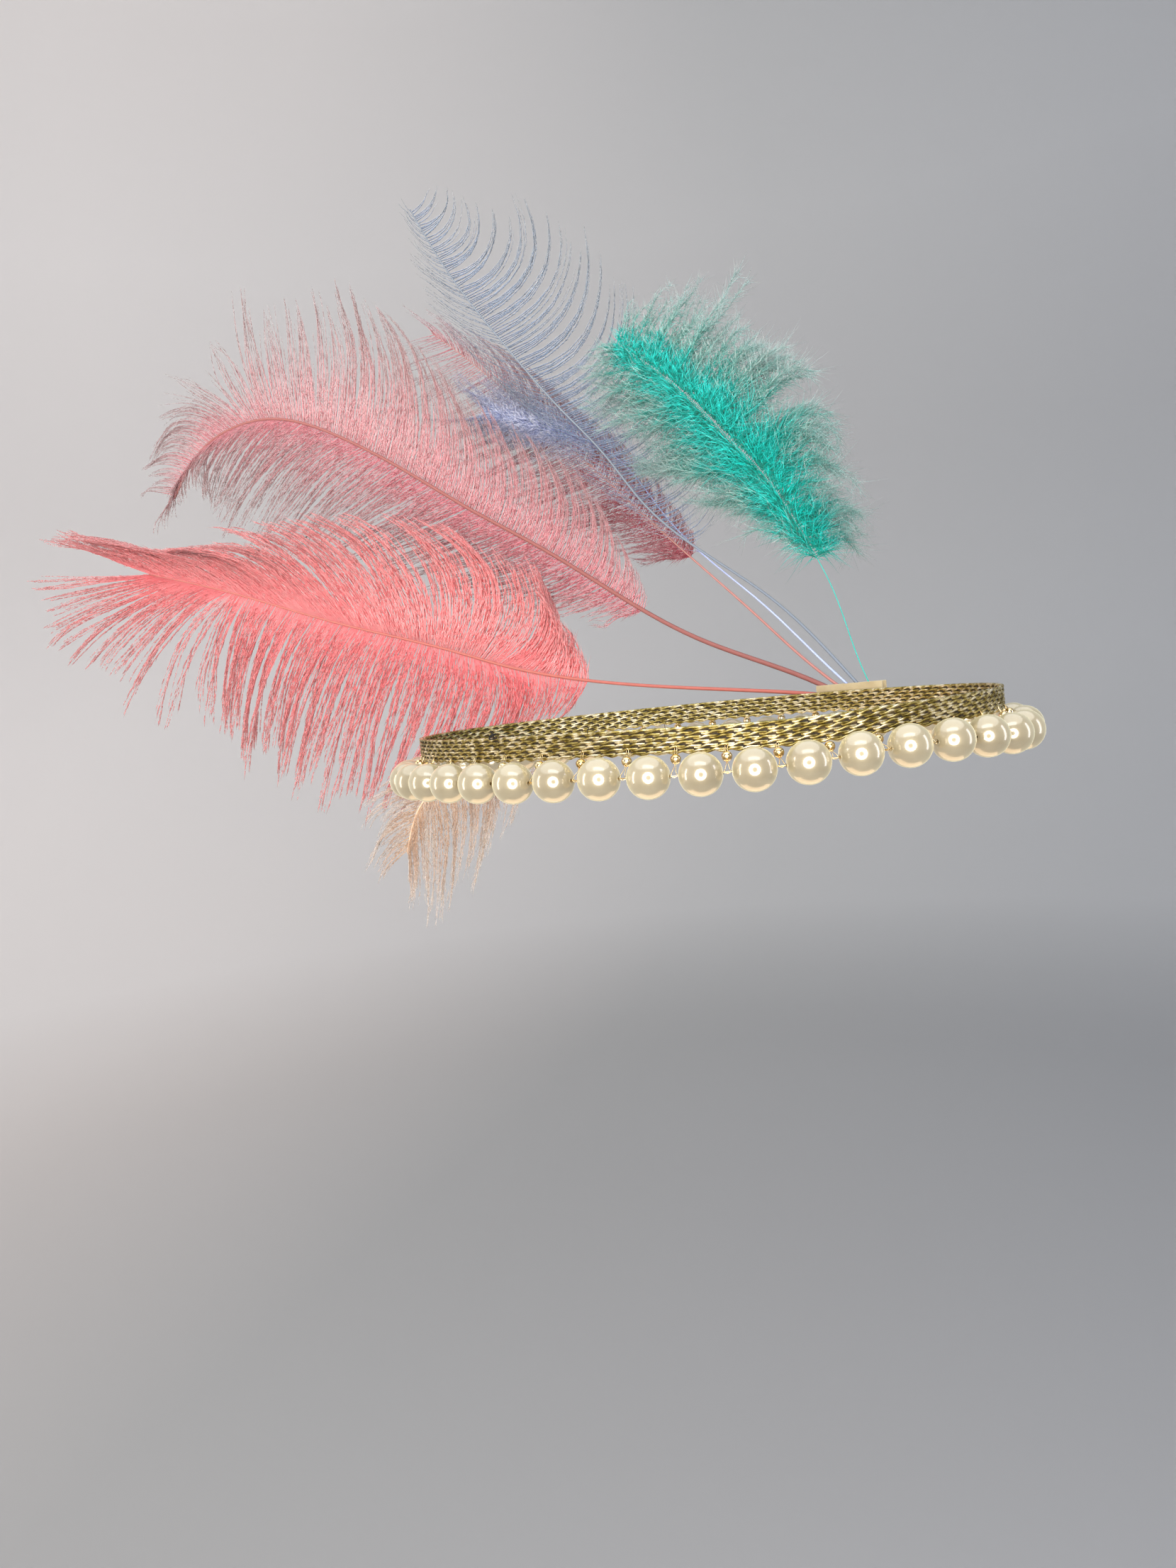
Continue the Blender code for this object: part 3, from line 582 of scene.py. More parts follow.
# %% Pearl lacquer
pearl_coat = new_material("pearl_lacquer_dipped")
pearl_place = add_node(pearl_coat, "ShaderNodeTexCoord")
pearl_cloud = add_node(pearl_coat, "ShaderNodeTexNoise", {
    "Vector": pearl_place.outputs["Object"], "Scale": 60.0, "Detail": 2.0})
pearl_tone = add_node(pearl_coat, "ShaderNodeValToRGB", {0: pearl_cloud.outputs["Fac"]},
                      stops=[(0.3, "B0A283"), (0.7, "C0B393")])
pearl_orange_peel = add_node(pearl_coat, "ShaderNodeTexNoise", {
    "Vector": pearl_place.outputs["Object"], "Scale": 500.0, "Detail": 1.0})
pearl_bump = add_node(pearl_coat, "ShaderNodeBump", {
    "Height": pearl_orange_peel.outputs["Fac"], "Strength": 0.06, "Distance": 0.0001})
add_node(pearl_coat, SHADER, {
    "Base Color": pearl_tone.outputs["Color"], "Metallic": 0.35, "Roughness": 0.32,
    "Coat Weight": 1.0, "Coat Roughness": 0.06, "Coat IOR": 2.1,
    "Sheen Weight": 1.0, "Sheen Roughness": 0.45, "Sheen Tint": "F8F3CC",
    "Normal": pearl_bump.outputs["Normal"]})

# %% Forty pearls
PEARL_COUNT = 40
PEARL_DIAMETER = 12.0
PEARL_BORE = 1.3


def middle_of(node):
    """The middle of a sized solid, in millimetres."""
    low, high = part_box(node)
    return (np.array(low) + np.array(high)) / 2 / MM


pearl_model = drilled_bead("pearl_model", PEARL_DIAMETER, PEARL_BORE, 40, 24)
pearl_spots = np.array([middle_of(f"pearl_{i + 1:02d}") for i in range(PEARL_COUNT)])
pearl_axes = np.roll(pearl_spots, -1, axis=0) - np.roll(pearl_spots, 1, axis=0)
pearl_axes /= np.linalg.norm(pearl_axes, axis=1)[:, None]
for i in range(PEARL_COUNT):
    pearl = placed_copy(pearl_model, f"pearl_bead_{i + 1:02d}", pearl_axes[i], pearl_spots[i], pearl_coat)
    dress(pearl, "pearl_lacquer", f"pearl_{i + 1:02d}")
bpy.data.objects.remove(pearl_model)

# %% [markdown]
# ## The thread and the gold beads
#
# A gold thread runs through the pearls. Above each gap a small gold bead sits on a loop of the
# same thread, which comes up from between two pearls, passes through the bead and is caught on
# the braid's lower edge. The thread is thinner than a pixel, but its loops make the glints
# between the pearls, so they are drawn as real tubes.

# %% Polished bead and thread
polished = new_material("brass_bead_plated")
polished_place = add_node(polished, "ShaderNodeTexCoord")
polished_patch = add_node(polished, "ShaderNodeTexNoise", {
    "Vector": polished_place.outputs["Object"], "Scale": 300.0, "Detail": 2.0})
polished_tone = add_node(polished, "ShaderNodeValToRGB", {0: polished_patch.outputs["Fac"]},
                         stops=[(0.35, "EACB8C"), (0.65, "FBEBC6")])
polished_rough = add_node(polished, "ShaderNodeMapRange", {
    0: polished_patch.outputs["Fac"], "To Min": 0.06, "To Max": 0.2})
add_node(polished, SHADER, {"Base Color": polished_tone.outputs["Color"], "Metallic": 1.0,
                            "Roughness": polished_rough.outputs[0]})

GOLD_BEAD_DIAMETER = 3.0
GOLD_BEAD_BORE = 0.7
GOLD_BEAD_INWARD = 4.0
GOLD_BEAD_LEVEL = -4.95
THREAD_RADIUS = 0.22
LOOP_RADIUS = 0.13

gap_spots = (pearl_spots + np.roll(pearl_spots, 1, axis=0)) / 2
gap_axes = pearl_spots - np.roll(pearl_spots, 1, axis=0)
gap_axes /= np.linalg.norm(gap_axes, axis=1)[:, None]
gap_out = np.cross(gap_axes, UP)
gap_out /= np.linalg.norm(gap_out, axis=1)[:, None]

pearl_loop = oval(7.4, np.zeros(1))[2]
gap_shares = -4.4 / pearl_loop + (np.arange(PEARL_COUNT) - 5.5) / PEARL_COUNT
bead_heights = GOLD_BEAD_LEVEL - band_drop(gap_shares)

bead_model = drilled_bead("gold_bead_model", GOLD_BEAD_DIAMETER, GOLD_BEAD_BORE, 20, 12, squash=0.92)
gold_beads = []
for i in range(PEARL_COUNT):
    spot = gap_spots[i] - gap_out[i] * GOLD_BEAD_INWARD
    spot[2] = bead_heights[i]
    gold_beads.append(placed_copy(bead_model, f"gold_bead_{i + 1:02d}", spot - gap_spots[i], spot, polished))
bpy.data.objects.remove(bead_model)
print(len(gold_beads), "gold beads")

# %% The thread and its loops
string_path = np.empty((2 * PEARL_COUNT, 3))
string_path[0::2] = gap_spots
string_path[1::2] = pearl_spots
thread_points, thread_faces = tube(string_path, THREAD_RADIUS, 6, True, np.broadcast_to(UP, string_path.shape))
thread_parts = [thread_points]
for i in range(PEARL_COUNT):
    foot, along, out = gap_spots[i], gap_axes[i], gap_out[i]
    head = foot - out * GOLD_BEAD_INWARD
    lift = bead_heights[i] - foot[2]
    # Columns: along the pearls, outwards, share of the way up to the bead's middle.
    stations = ((-1.0, 0.3, -0.02), (-0.55, 0.1, 0.25), (-0.2, -2.2, 0.55), (-0.12, -GOLD_BEAD_INWARD, 1.0),
                (-0.3, -4.9, 1.4), (-0.35, -5.6, 1.75), (0.0, -4.9, 1.85), (0.35, -5.6, 1.75),
                (0.3, -4.9, 1.4), (0.12, -GOLD_BEAD_INWARD, 1.0), (0.2, -2.2, 0.55), (0.55, 0.1, 0.25),
                (1.0, 0.3, -0.02), (0.0, 0.5, -0.1))
    loop_path = np.array([foot + along * a + out * o + UP * lift * h for a, o, h in stations])
    start = sum(len(part) for part in thread_parts)
    points, faces = tube(loop_path, LOOP_RADIUS, 5, True, np.broadcast_to(out, loop_path.shape))
    thread_parts.append(points)
    thread_faces += [tuple(start + corner for corner in face) for face in faces]
thread = piece_from("gold_bead_string", np.concatenate(thread_parts), thread_faces, polished)
select_only(thread)
for bead in gold_beads:
    bead.select_set(True)
bpy.ops.object.join()
dress(thread, "gold_beads", "bead_thread")

# %% [markdown]
# ## The binding for the quills
#
# The quills are held at the left temple in a folded strip of felt, on the outside of the band.
# A fold is easiest to make as one: a plane for the outer wall, its lower edge extruded inwards
# for the floor, and that edge extruded upwards for the inner wall. A bevel rounds the fold and
# Solidify gives the felt its thickness.

# %% Felt
felt = new_material("wool_felt_pressed")
felt_place = add_node(felt, "ShaderNodeTexCoord")
felt_fibres = add_node(felt, "ShaderNodeTexNoise", {
    "Vector": felt_place.outputs["Object"], "Scale": 1400.0, "Detail": 4.0, "Distortion": 1.5})
felt_patch = add_node(felt, "ShaderNodeTexNoise", {
    "Vector": felt_place.outputs["Object"], "Scale": 130.0, "Detail": 3.0})
felt_tone = add_node(felt, "ShaderNodeValToRGB", {0: felt_patch.outputs["Fac"]},
                     stops=[(0.3, "B9A57C"), (0.7, "D3C29B")])
felt_bump = add_node(felt, "ShaderNodeBump", {
    "Height": felt_fibres.outputs["Fac"], "Strength": 0.7, "Distance": 0.00015})
add_node(felt, SHADER, {"Base Color": felt_tone.outputs["Color"], "Roughness": 0.95,
                        "Sheen Weight": 0.4, "Sheen Roughness": 0.6,
                        "Normal": felt_bump.outputs["Normal"]})

# %% The folded strip
BINDING_X = 38.0
BINDING_LENGTH = 27.0
BINDING_WALL = 1.0
BINDING_OUTER = 5.8
BINDING_INNER = 2.6
BINDING_LOW = -2.6
BINDING_HIGH = 6.0

bpy.ops.object.select_all(action="DESELECT")
bpy.ops.mesh.primitive_plane_add(size=1.0)
binding = bpy.context.object
binding.name = "felt_binding"
bpy.ops.object.mode_set(mode="EDIT")
bpy.ops.transform.resize(value=(BINDING_LENGTH * MM, (BINDING_HIGH - BINDING_LOW) * MM, 1))
bpy.ops.mesh.select_mode(type="EDGE")
body = bmesh.from_edit_mesh(binding.data)
for edge in body.edges:
    edge.select = all(corner.co.y < 0 for corner in edge.verts)
body.select_flush_mode()
bmesh.update_edit_mesh(binding.data)
bpy.ops.mesh.extrude_region_move(TRANSFORM_OT_translate={"value": (0, 0, -(BINDING_OUTER - BINDING_INNER) * MM)})
bpy.ops.mesh.extrude_region_move(TRANSFORM_OT_translate={"value": (0, (BINDING_HIGH - BINDING_LOW) * MM, 0)})
body = bmesh.from_edit_mesh(binding.data)
for edge in body.edges:
    low = all(corner.co.y < 0 for corner in edge.verts)
    edge.select = low and abs(edge.verts[0].co.x - edge.verts[1].co.x) > BINDING_LENGTH * MM / 2
body.select_flush_mode()
bmesh.update_edit_mesh(binding.data)
bpy.ops.mesh.bevel(offset=1.2 * MM, segments=4)
bpy.ops.mesh.select_all(action="SELECT")
bpy.ops.mesh.normals_make_consistent(inside=False)
bpy.ops.object.mode_set(mode="OBJECT")
thick = binding.modifiers.new("felt", "SOLIDIFY")
thick.thickness = BINDING_WALL * MM
thick.offset = 0.0
bpy.ops.object.modifier_apply(modifier=thick.name)
edge_round = binding.modifiers.new("soft_edges", "BEVEL")
edge_round.width = 0.25 * MM
edge_round.segments = 2
bpy.ops.object.modifier_apply(modifier=edge_round.name)
bpy.ops.object.shade_smooth_by_angle(angle=math.radians(50))

# %% Standing the strip on the band
binding_y = HEAD_HALF_WIDTH * math.sqrt(1 - (BINDING_X / HEAD_HALF_LENGTH) ** 2)
binding_out = Vector((BINDING_X / HEAD_HALF_LENGTH ** 2, binding_y / HEAD_HALF_WIDTH ** 2, 0)).normalized()
binding_back = Vector((-binding_out.y, binding_out.x, 0))
binding_axes = Matrix((binding_back, Vector((0, 0, 1)), binding_out)).transposed()
binding_spot = Vector((BINDING_X, binding_y, (BINDING_LOW + BINDING_HIGH) / 2)) + binding_out * BINDING_OUTER
if binding_axes.determinant() < 0:
    binding_axes = Matrix((-binding_back, Vector((0, 0, 1)), binding_out)).transposed()
binding.data.transform(Matrix.Translation(binding_spot * MM) @ binding_axes.to_4x4())
binding.data.materials.append(felt)
dress(binding, "binding_felt", "quill_binding")
print("binding", [round(c / MM, 1) for c in binding.dimensions])

# %% [markdown]
# ## The plumes
#
# A plume is a shaft with soft barbs on both sides, and every barb carries hundreds of finer
# barbules that make the haze between the barbs. All of it is needed: barbs alone look like a
# comb, and a flat sheet looks like paper. Hair curves could do it inside Blender, but the
# headband must be one solid mesh for other programs, so each hair becomes a slim three-sided
# spike. NumPy makes thousands of them at once.
#
# Each plume is described by its shaft and by guides for the barbs above and below it.

# %% Shafts and guides
PLUMES = {
    "plume_coral": {
        "root": (6.4, 1.6, 8.0),
        "zero_row": 1,
        "shaft": (
            (-30, 82, 10), (-111, 84, 27), (-131, 86, 34), (-158, 87, 43), (-187, 88, 52),
            (-216, 89, 62), (-249, 90, 74), (-280, 91, 84), (-304, 92, 91),
        ),
        "upper": (
            (-42, -3, 13, -12, 22), (0, 21, 18, 17, 44), (20, 12, 30, -5, 55), (48, -8, 31, -30, 56),
            (78, -22, 30, -48, 49), (109, -28, 25, -61, 37), (142, -31, 21, -71, 34),
            (174, -31, 18, -68, 33), (205, -31, 13, -63, 25),
        ),
        "lower": (
            (-42, -8, -10, -18, -18), (0, -2, -20, -21, -45), (20, -7, -23, -29, -55),
            (48, -14, -24, -29, -59), (78, -19, -23, -37, -57), (109, -20, -24, -34, -55),
            (140, -15, -20, -24, -48), (149, -17, -18, -29, -46), (154, -30, -12, -59, -38),
            (164, -33, -12, -65, -34), (180, -41, -8, -76, -20), (205, -34, 5, -70, 12),
        ),
        "locks": 12,
    },
    "plume_rose": {
        "root": (3.2, 1.6, 27.0),
        "zero_row": 1,
        "shaft": (
            (-20, 82, 28), (-74, 92, 63), (-91, 93, 75), (-123, 94, 96), (-160, 95, 122),
            (-184, 96, 137), (-201, 97, 146), (-226, 98, 154), (-247, 99, 154), (-269, 100, 147),
            (-290, 101, 127),
        ),
        "upper": (
            (-35, 2, 10, -2, 20), (0, 9, 18, 3, 42), (21, 8, 22, 0, 48), (59, 7, 26, -4, 59),
            (104, 10, 33, 2, 66), (132, 8, 32, 6, 63), (150, 4, 31, 2, 59), (170, -3, 31, -3, 55),
            (181, -7, 26, -9, 53), (195, -17, 16, -40, 31), (210, -20, 10, -40, 1),
            (240, -12, 4, -21, 3),
        ),
        "lower": (
            (-35, -11, -3, -22, -5), (0, -19, -5, -46, -8), (21, -19, -4, -47, -7),
            (59, -23, -5, -50, -10), (104, -23, -10, -47, -24), (132, -25, -9, -51, -29),
            (150, -26, -12, -50, -32), (175, -22, -13, -41, -34), (190, -18, -11, -27, -26),
            (205, -14, -10, -18, -21), (240, -8, -7, -11, -15),
        ),
        "locks": 13,
    },
    "plume_blue": {
        "root": (-6.4, 1.2, 50.0),
        "zero_row": 1,
        "shaft": (
            (8, 84, 42), (-45, 97, 88), (-60, 98, 110), (-78, 99, 132), (-101, 100, 163),
            (-125, 101, 199), (-141, 102, 230),
        ),
        "upper": (
            (-30, 10, 5, 15, 17), (0, 22, 9, 32, 33), (27, 22, 8, 33, 34), (55, 26, 12, 35, 40),
            (73, 28, 12, 36, 43), (93, 28, 14, 36, 41), (110, 27, 14, 31, 39), (125, 22, 10, 24, 33),
            (143, 16, 6, 18, 22), (171, 7, 4, 11, 10),
        ),
        "lower": (
            (-30, -10, 6, -18, 14), (0, -23, 13, -43, 33), (27, -22, 14, -42, 34),
            (63, -21, 12, -40, 31), (93, -19, 11, -35, 26), (119, -14, 10, -27, 22),
            (143, -8, 6, -14, 15), (171, -3, 4, -6, 10),
        ),
        "locks": 10,
    },
    "plume_rose_back": {
        "root": (0.0, 1.4, 38.0),
        "zero_row": 1,
        "shaft": (
            (0, 92, 36), (-46, 109, 81), (-67, 110, 104), (-93, 111, 131), (-119, 112, 158),
            (-143, 113, 180),
        ),
        "upper": (
            (-25, 2, 8, -3, 17), (0, 3, 14, -7, 33), (31, 2, 15, -11, 32), (67, -2, 17, -13, 33),
            (105, -4, 13, -17, 27), (141, -7, 7, -17, 14),
        ),
        "lower": (
            (-25, -12, 0, -25, 1), (0, -22, -2, -48, -2), (31, -25, -5, -49, -8),
            (67, -24, -6, -46, -9), (105, -19, -5, -38, -9), (141, -10, 0, -21, -1),
        ),
        "locks": 7,
    },
    "plume_lavender": {
        "root": (-3.2, 1.3, 44.0),
        "zero_row": 1,
        "shaft": (
            (4, 88, 40), (-37, 103, 81), (-56, 104, 108), (-87, 105, 127), (-116, 105, 138),
        ),
        "upper": (
            (-25, 2, 10, -4, 21), (0, 2, 19, -13, 47), (33, -5, 19, -21, 38), (69, -10, 13, -20, 27),
            (102, -9, 9, -21, 19),
        ),
        "lower": (
            (-25, -9, 3, -18, 6), (0, -17, 4, -35, 8), (33, -18, 0, -37, 1), (69, -14, -3, -27, -4),
            (102, -14, 0, -30, 3),
        ),
        "locks": 6,
    },
    "plume_teal": {
        "root": (-9.6, 0.4, 68.0),
        "zero_row": 1,
        "shaft": (
            (34, 77, 42), (20, 82, 71), (13, 83, 84), (-2, 84, 104), (-20, 85, 126), (-46, 86, 150),
        ),
        "upper": (
            (-20, 7, 2, 14, 0), (0, 15, 1, 26, -7), (14, 16, 6, 30, -6), (27, 18, 10, 31, 4),
            (40, 18, 13, 34, 15), (59, 17, 15, 29, 21), (76, 14, 15, 27, 27), (90, 8, 14, 17, 25),
            (104, 3, 12, 6, 22),
        ),
        "lower": (
            (-20, -7, 3, -14, 5), (0, -15, 4, -32, 6), (14, -17, 1, -36, 4), (40, -20, -3, -38, -3),
            (59, -18, -4, -35, -6), (76, -17, -3, -32, -5), (90, -15, 1, -27, 0),
            (104, -10, 4, -18, 7),
        ),
        "locks": 8,
    },
    "plume_peach": {
        "root": (9.6, -1.0, 0.0),
        "zero_row": 2,
        "shaft": (
            (-10, 81, 0), (-62, 80, -1), (-111, 76, -8), (-132, 76, -17), (-154, 76, -30),
            (-165, 77, -52),
        ),
        "upper": (
            (-25, -9, 4, -20, 2), (0, -15, 3, -36, -3), (22, -18, 3, -41, -4), (36, -21, -1, -41, -10),
            (48, -17, -6, -28, -19), (74, -9, -7, -14, -14),
        ),
        "lower": (
            (-25, -4, -10, -11, -20), (0, -3, -24, -14, -51), (22, -1, -26, -11, -58),
            (36, 1, -27, -6, -58), (48, -1, -21, -4, -47), (74, -1, -11, -3, -20),
        ),
        "locks": 5,
    },
}

# %% [markdown]
# The shaft leaves the binding, runs through its points in one smooth bend, and ends at the tip.
# A natural cubic spline is the curve that a springy quill takes, so the path is solved as one.

# %% A smooth path
QUILL_EXIT_LENGTH = 13.0
SLOT_MIDDLE = 4.2


def smooth_path(knots, step=1.0):
    """A natural cubic through the knots, sampled about every millimetre, with its running length."""
    knots = np.array(knots, dtype=float)
    run = np.concatenate([[0.0], np.cumsum(np.linalg.norm(np.diff(knots, axis=0), axis=1))])
    gaps = np.diff(run)
    count = len(knots)
    system, right = np.eye(count), np.zeros_like(knots)
    for i in range(1, count - 1):
        system[i, i - 1:i + 2] = gaps[i - 1], 2 * (gaps[i - 1] + gaps[i]), gaps[i]
        right[i] = 6 * ((knots[i + 1] - knots[i]) / gaps[i] - (knots[i] - knots[i - 1]) / gaps[i - 1])
    bend = np.linalg.solve(system, right)
    at = np.linspace(0, run[-1], int(run[-1] / step) + 1)
    i = np.clip(np.searchsorted(run, at, side="right") - 1, 0, count - 2)
    gap, before, after = gaps[i][:, None], (run[i + 1] - at)[:, None], (at - run[i])[:, None]
    path = (bend[i] * before ** 3 + bend[i + 1] * after ** 3) / (6 * gap)
    path += (knots[i] / gap - bend[i] * gap / 6) * before
    path += (knots[i + 1] / gap - bend[i + 1] * gap / 6) * after
    length = np.concatenate([[0.0], np.cumsum(np.linalg.norm(np.diff(path, axis=0), axis=1))])
    return path, length


def shaft_of(plume):
    """The shaft's path, its running length, and the length at which the guides start counting."""
    along, height, angle = plume["root"]
    middle = Vector((BINDING_X, binding_y, height)) + binding_out * SLOT_MIDDLE
    root = middle + binding_back * along
    rise = math.radians(angle)
    leave = root + (binding_back * math.cos(rise) + Vector((0, 0, math.sin(rise)))) * QUILL_EXIT_LENGTH
    path, length = smooth_path([tuple(root), tuple(leave)] + list(plume["shaft"]))
    first = np.array(plume["shaft"][plume["zero_row"]], dtype=float)
    return path, length, length[np.argmin(np.linalg.norm(path - first, axis=1))]


def read_rows(rows, along):
    """The middle and the tip of barbs at distances along the vane, each as an offset from the shaft."""
    table = np.array(rows, dtype=float)
    mid_x, mid_z, tip_x, tip_z = (np.interp(along, table[:, 0], table[:, c]) for c in range(1, 5))
    flat = np.zeros_like(mid_x)
    return np.stack([mid_x, flat, mid_z], axis=-1), np.stack([tip_x, flat, tip_z], axis=-1)


print("longest shaft", round(max(shaft_of(p)[1][-1] for p in PLUMES.values())), "mm")

# %% [markdown]
# A barb springs from the shaft, passes the guide's middle and ends at the guide's tip, which is
# one quadratic curve. Real barbs cling together in pointed locks, so each one drifts towards the
# curve of its lock's leader as it goes outwards. A slow sway and a little depth of its own keep
# the locks loose. One function gives the place of any point on any barb, and everything that
# grows on a barb asks it where to start.

# %% One side of a vane
BASE_DOWN = 40.0


class Vane:
    """The barbs on one side of a plume, as functions of barb number and share of its length."""

    def __init__(self, plume, rows, look, draw):
        self.path, self.length, zero = shaft_of(plume)
        start = zero + rows[0][0]
        end = self.length[-1] - 1.0
        count = look["barbs"]
        self.count = count
        along = ((np.arange(count) + draw.uniform(0.1, 0.9, count)) / count) ** look["crowd"]
        self.place = start + (end - start) * along
        self.slim = 1 - look["slim_tip"] * along ** 3
        self.zero, self.rows = zero, rows
        lock_edges = start + np.cumsum(draw.uniform(0.55, 1.45, 400)) * look["lock"]
        lock_edges = np.concatenate([[start], lock_edges])
        lock = np.searchsorted(lock_edges, self.place)
        centres = (lock_edges[1:] + lock_edges[:-1]) / 2
        self.leader = np.clip(centres[np.clip(lock - 1, 0, len(centres) - 1)], start, end)
        self.cling = look["cling"] * draw.uniform(0.6, 1.2, count)
        self.cling_late = look["cling_late"]
        # Columns of the draws: reach, depth, sway, sway's start; the lock's own come second.
        lock_draw = draw.uniform(-1, 1, (len(lock_edges) + 1, 4))[lock]
        own_draw = draw.uniform(-1, 1, (count, 4))
        self.reach = look["longer"] + look["ragged"] * (0.6 * lock_draw[:, 0] + 0.4 * own_draw[:, 0] - 0.35)
        stray = draw.uniform(0, 1, count) < look["stray"]
        self.reach += np.where(stray, draw.uniform(-0.45, 0.06, count), 0.0)
        self.cling = np.where(stray, 0.0, self.cling)
        bare = np.clip(1 - (self.place - start) / BASE_DOWN, 0, 1)
        self.reach = np.maximum(self.reach, 0.2) * (1 - 0.85 * bare * draw.uniform(0, 1, count))
        loose = 1 - 0.8 * np.clip(self.cling, 0, 1)
        self.depth = look["depth"] * (0.65 * lock_draw[:, 1] + 0.6 * loose * own_draw[:, 1])
        self.sway = look["sway"] * (0.7 * lock_draw[:, 2] + 0.6 * loose * own_draw[:, 2])
        self.phase = math.pi * (lock_draw[:, 3] + 0.15 * own_draw[:, 3])
        self.waves = look["waves"] * (1 + 0.25 * lock_draw[:, 2])
        self.shade = 0.5 + 0.28 * lock_draw[:, 0] + 0.22 * own_draw[:, 2] + look["fade"] * (along - 0.5)
        self.shade += np.where(stray, look["stray_pale"], 0.0)
        thick = np.array(look["thick"], dtype=float)
        self.thick = np.interp(self.place - zero, thick[:, 0], thick[:, 1])

    def shaft_at(self, place):
        return np.stack([np.interp(place, self.length, self.path[:, c]) for c in range(3)], axis=-1)

    def bent(self, place, share):
        mid, tip = read_rows(self.rows, place - self.zero)
        share = share[..., None]
        return self.shaft_at(place) + 4 * share * (1 - share) * mid + (2 * share ** 2 - share) * tip

    def at(self, barb, share):
        """The point at a share of the way along each barb."""
        out = share * self.reach[barb]
        point = self.bent(self.place[barb], out)
        leader = self.bent(self.leader[barb], out)
        cling = (self.cling[barb] * out ** self.cling_late)[..., None]
        point = point + (leader - point) * np.clip(cling, 0, 0.92)
        ahead = self.bent(self.place[barb], out + 0.02) - self.bent(self.place[barb], out)
        ahead /= np.maximum(np.linalg.norm(ahead, axis=-1), 1e-6)[..., None]
        across = np.cross(ahead, DEEP)
        swing = self.sway[barb] * out ** 1.2 * np.sin(2 * math.pi * self.waves[barb] * share + self.phase[barb])
        depth = self.depth[barb] * out ** 1.4
        return point + across * swing[..., None] + DEEP * depth[..., None]

    def lengths(self):
        share = np.linspace(0, 1, 9)
        points = self.at(np.arange(self.count)[:, None].repeat(9, axis=1), share[None, :].repeat(self.count, axis=0))
        return np.linalg.norm(np.diff(points, axis=1), axis=2).sum(axis=1)


print("vanes are ready to be combed")

# %% [markdown]
# Now the hairs themselves. A barb is a three-sided tube that tapers to its tip. A barbule is the
# slimmest closed body there is: a small triangle of base and one point, four faces in all. Each
# corner also remembers how far out it sits and which lock it belongs to, because the dye does
# not take evenly, the ends pale with thinner dye and painted light, and the material reads both numbers.

# %% Barbs and barbules
BARB_STEPS = 6


def frame_round(ahead):
    """Two directions across each given one, so that the three make a right-handed set."""
    helper = np.where(np.abs(ahead[..., 1:2]) < 0.9, DEEP, np.array([1.0, 0.0, 0.0]))
    first = np.cross(helper, ahead)
    first /= np.linalg.norm(first, axis=-1)[..., None]
    return first, np.cross(ahead, first)


def grow_barbs(vane, look):
    """Corners, triangles and tones of all barbs of a vane."""
    count, rings = vane.count, BARB_STEPS + 1
    barb = np.arange(count)[:, None].repeat(rings, axis=1)
    share = np.linspace(0, 1, rings)[None, :].repeat(count, axis=0)
    spine = vane.at(barb, share)
    ahead = np.gradient(spine, axis=1)
    ahead /= np.linalg.norm(ahead, axis=2)[..., None]
    first, second = frame_round(ahead)
    radius = look["barb_radius"] * (1 - share) ** 0.6 + 0.03
    corners = []
    for j in range(3):
        turn = 2 * math.pi * j / 3
        corners.append(spine + radius[..., None] * (math.cos(turn) * first + math.sin(turn) * second))
    corners = np.stack(corners, axis=2)
    base = (np.arange(count)[:, None] * rings + np.arange(BARB_STEPS)[None, :]) * 3
    faces = []
    for j in range(3):
        k = (j + 1) % 3
        faces.append(np.stack([base + j, base + k, base + 3 + k], axis=-1).reshape(-1, 3))
        faces.append(np.stack([base + j, base + 3 + k, base + 3 + j], axis=-1).reshape(-1, 3))
    root = np.arange(count) * rings * 3
    tip = root + BARB_STEPS * 3
    faces.append(np.stack([root + 2, root + 1, root], axis=-1))
    faces.append(np.stack([tip, tip + 1, tip + 2], axis=-1))
    tones = np.stack([share, vane.shade[barb]], axis=-1)[:, :, None].repeat(3, axis=2)
    return corners.reshape(-1, 3), np.concatenate(faces), tones.reshape(-1, 2)


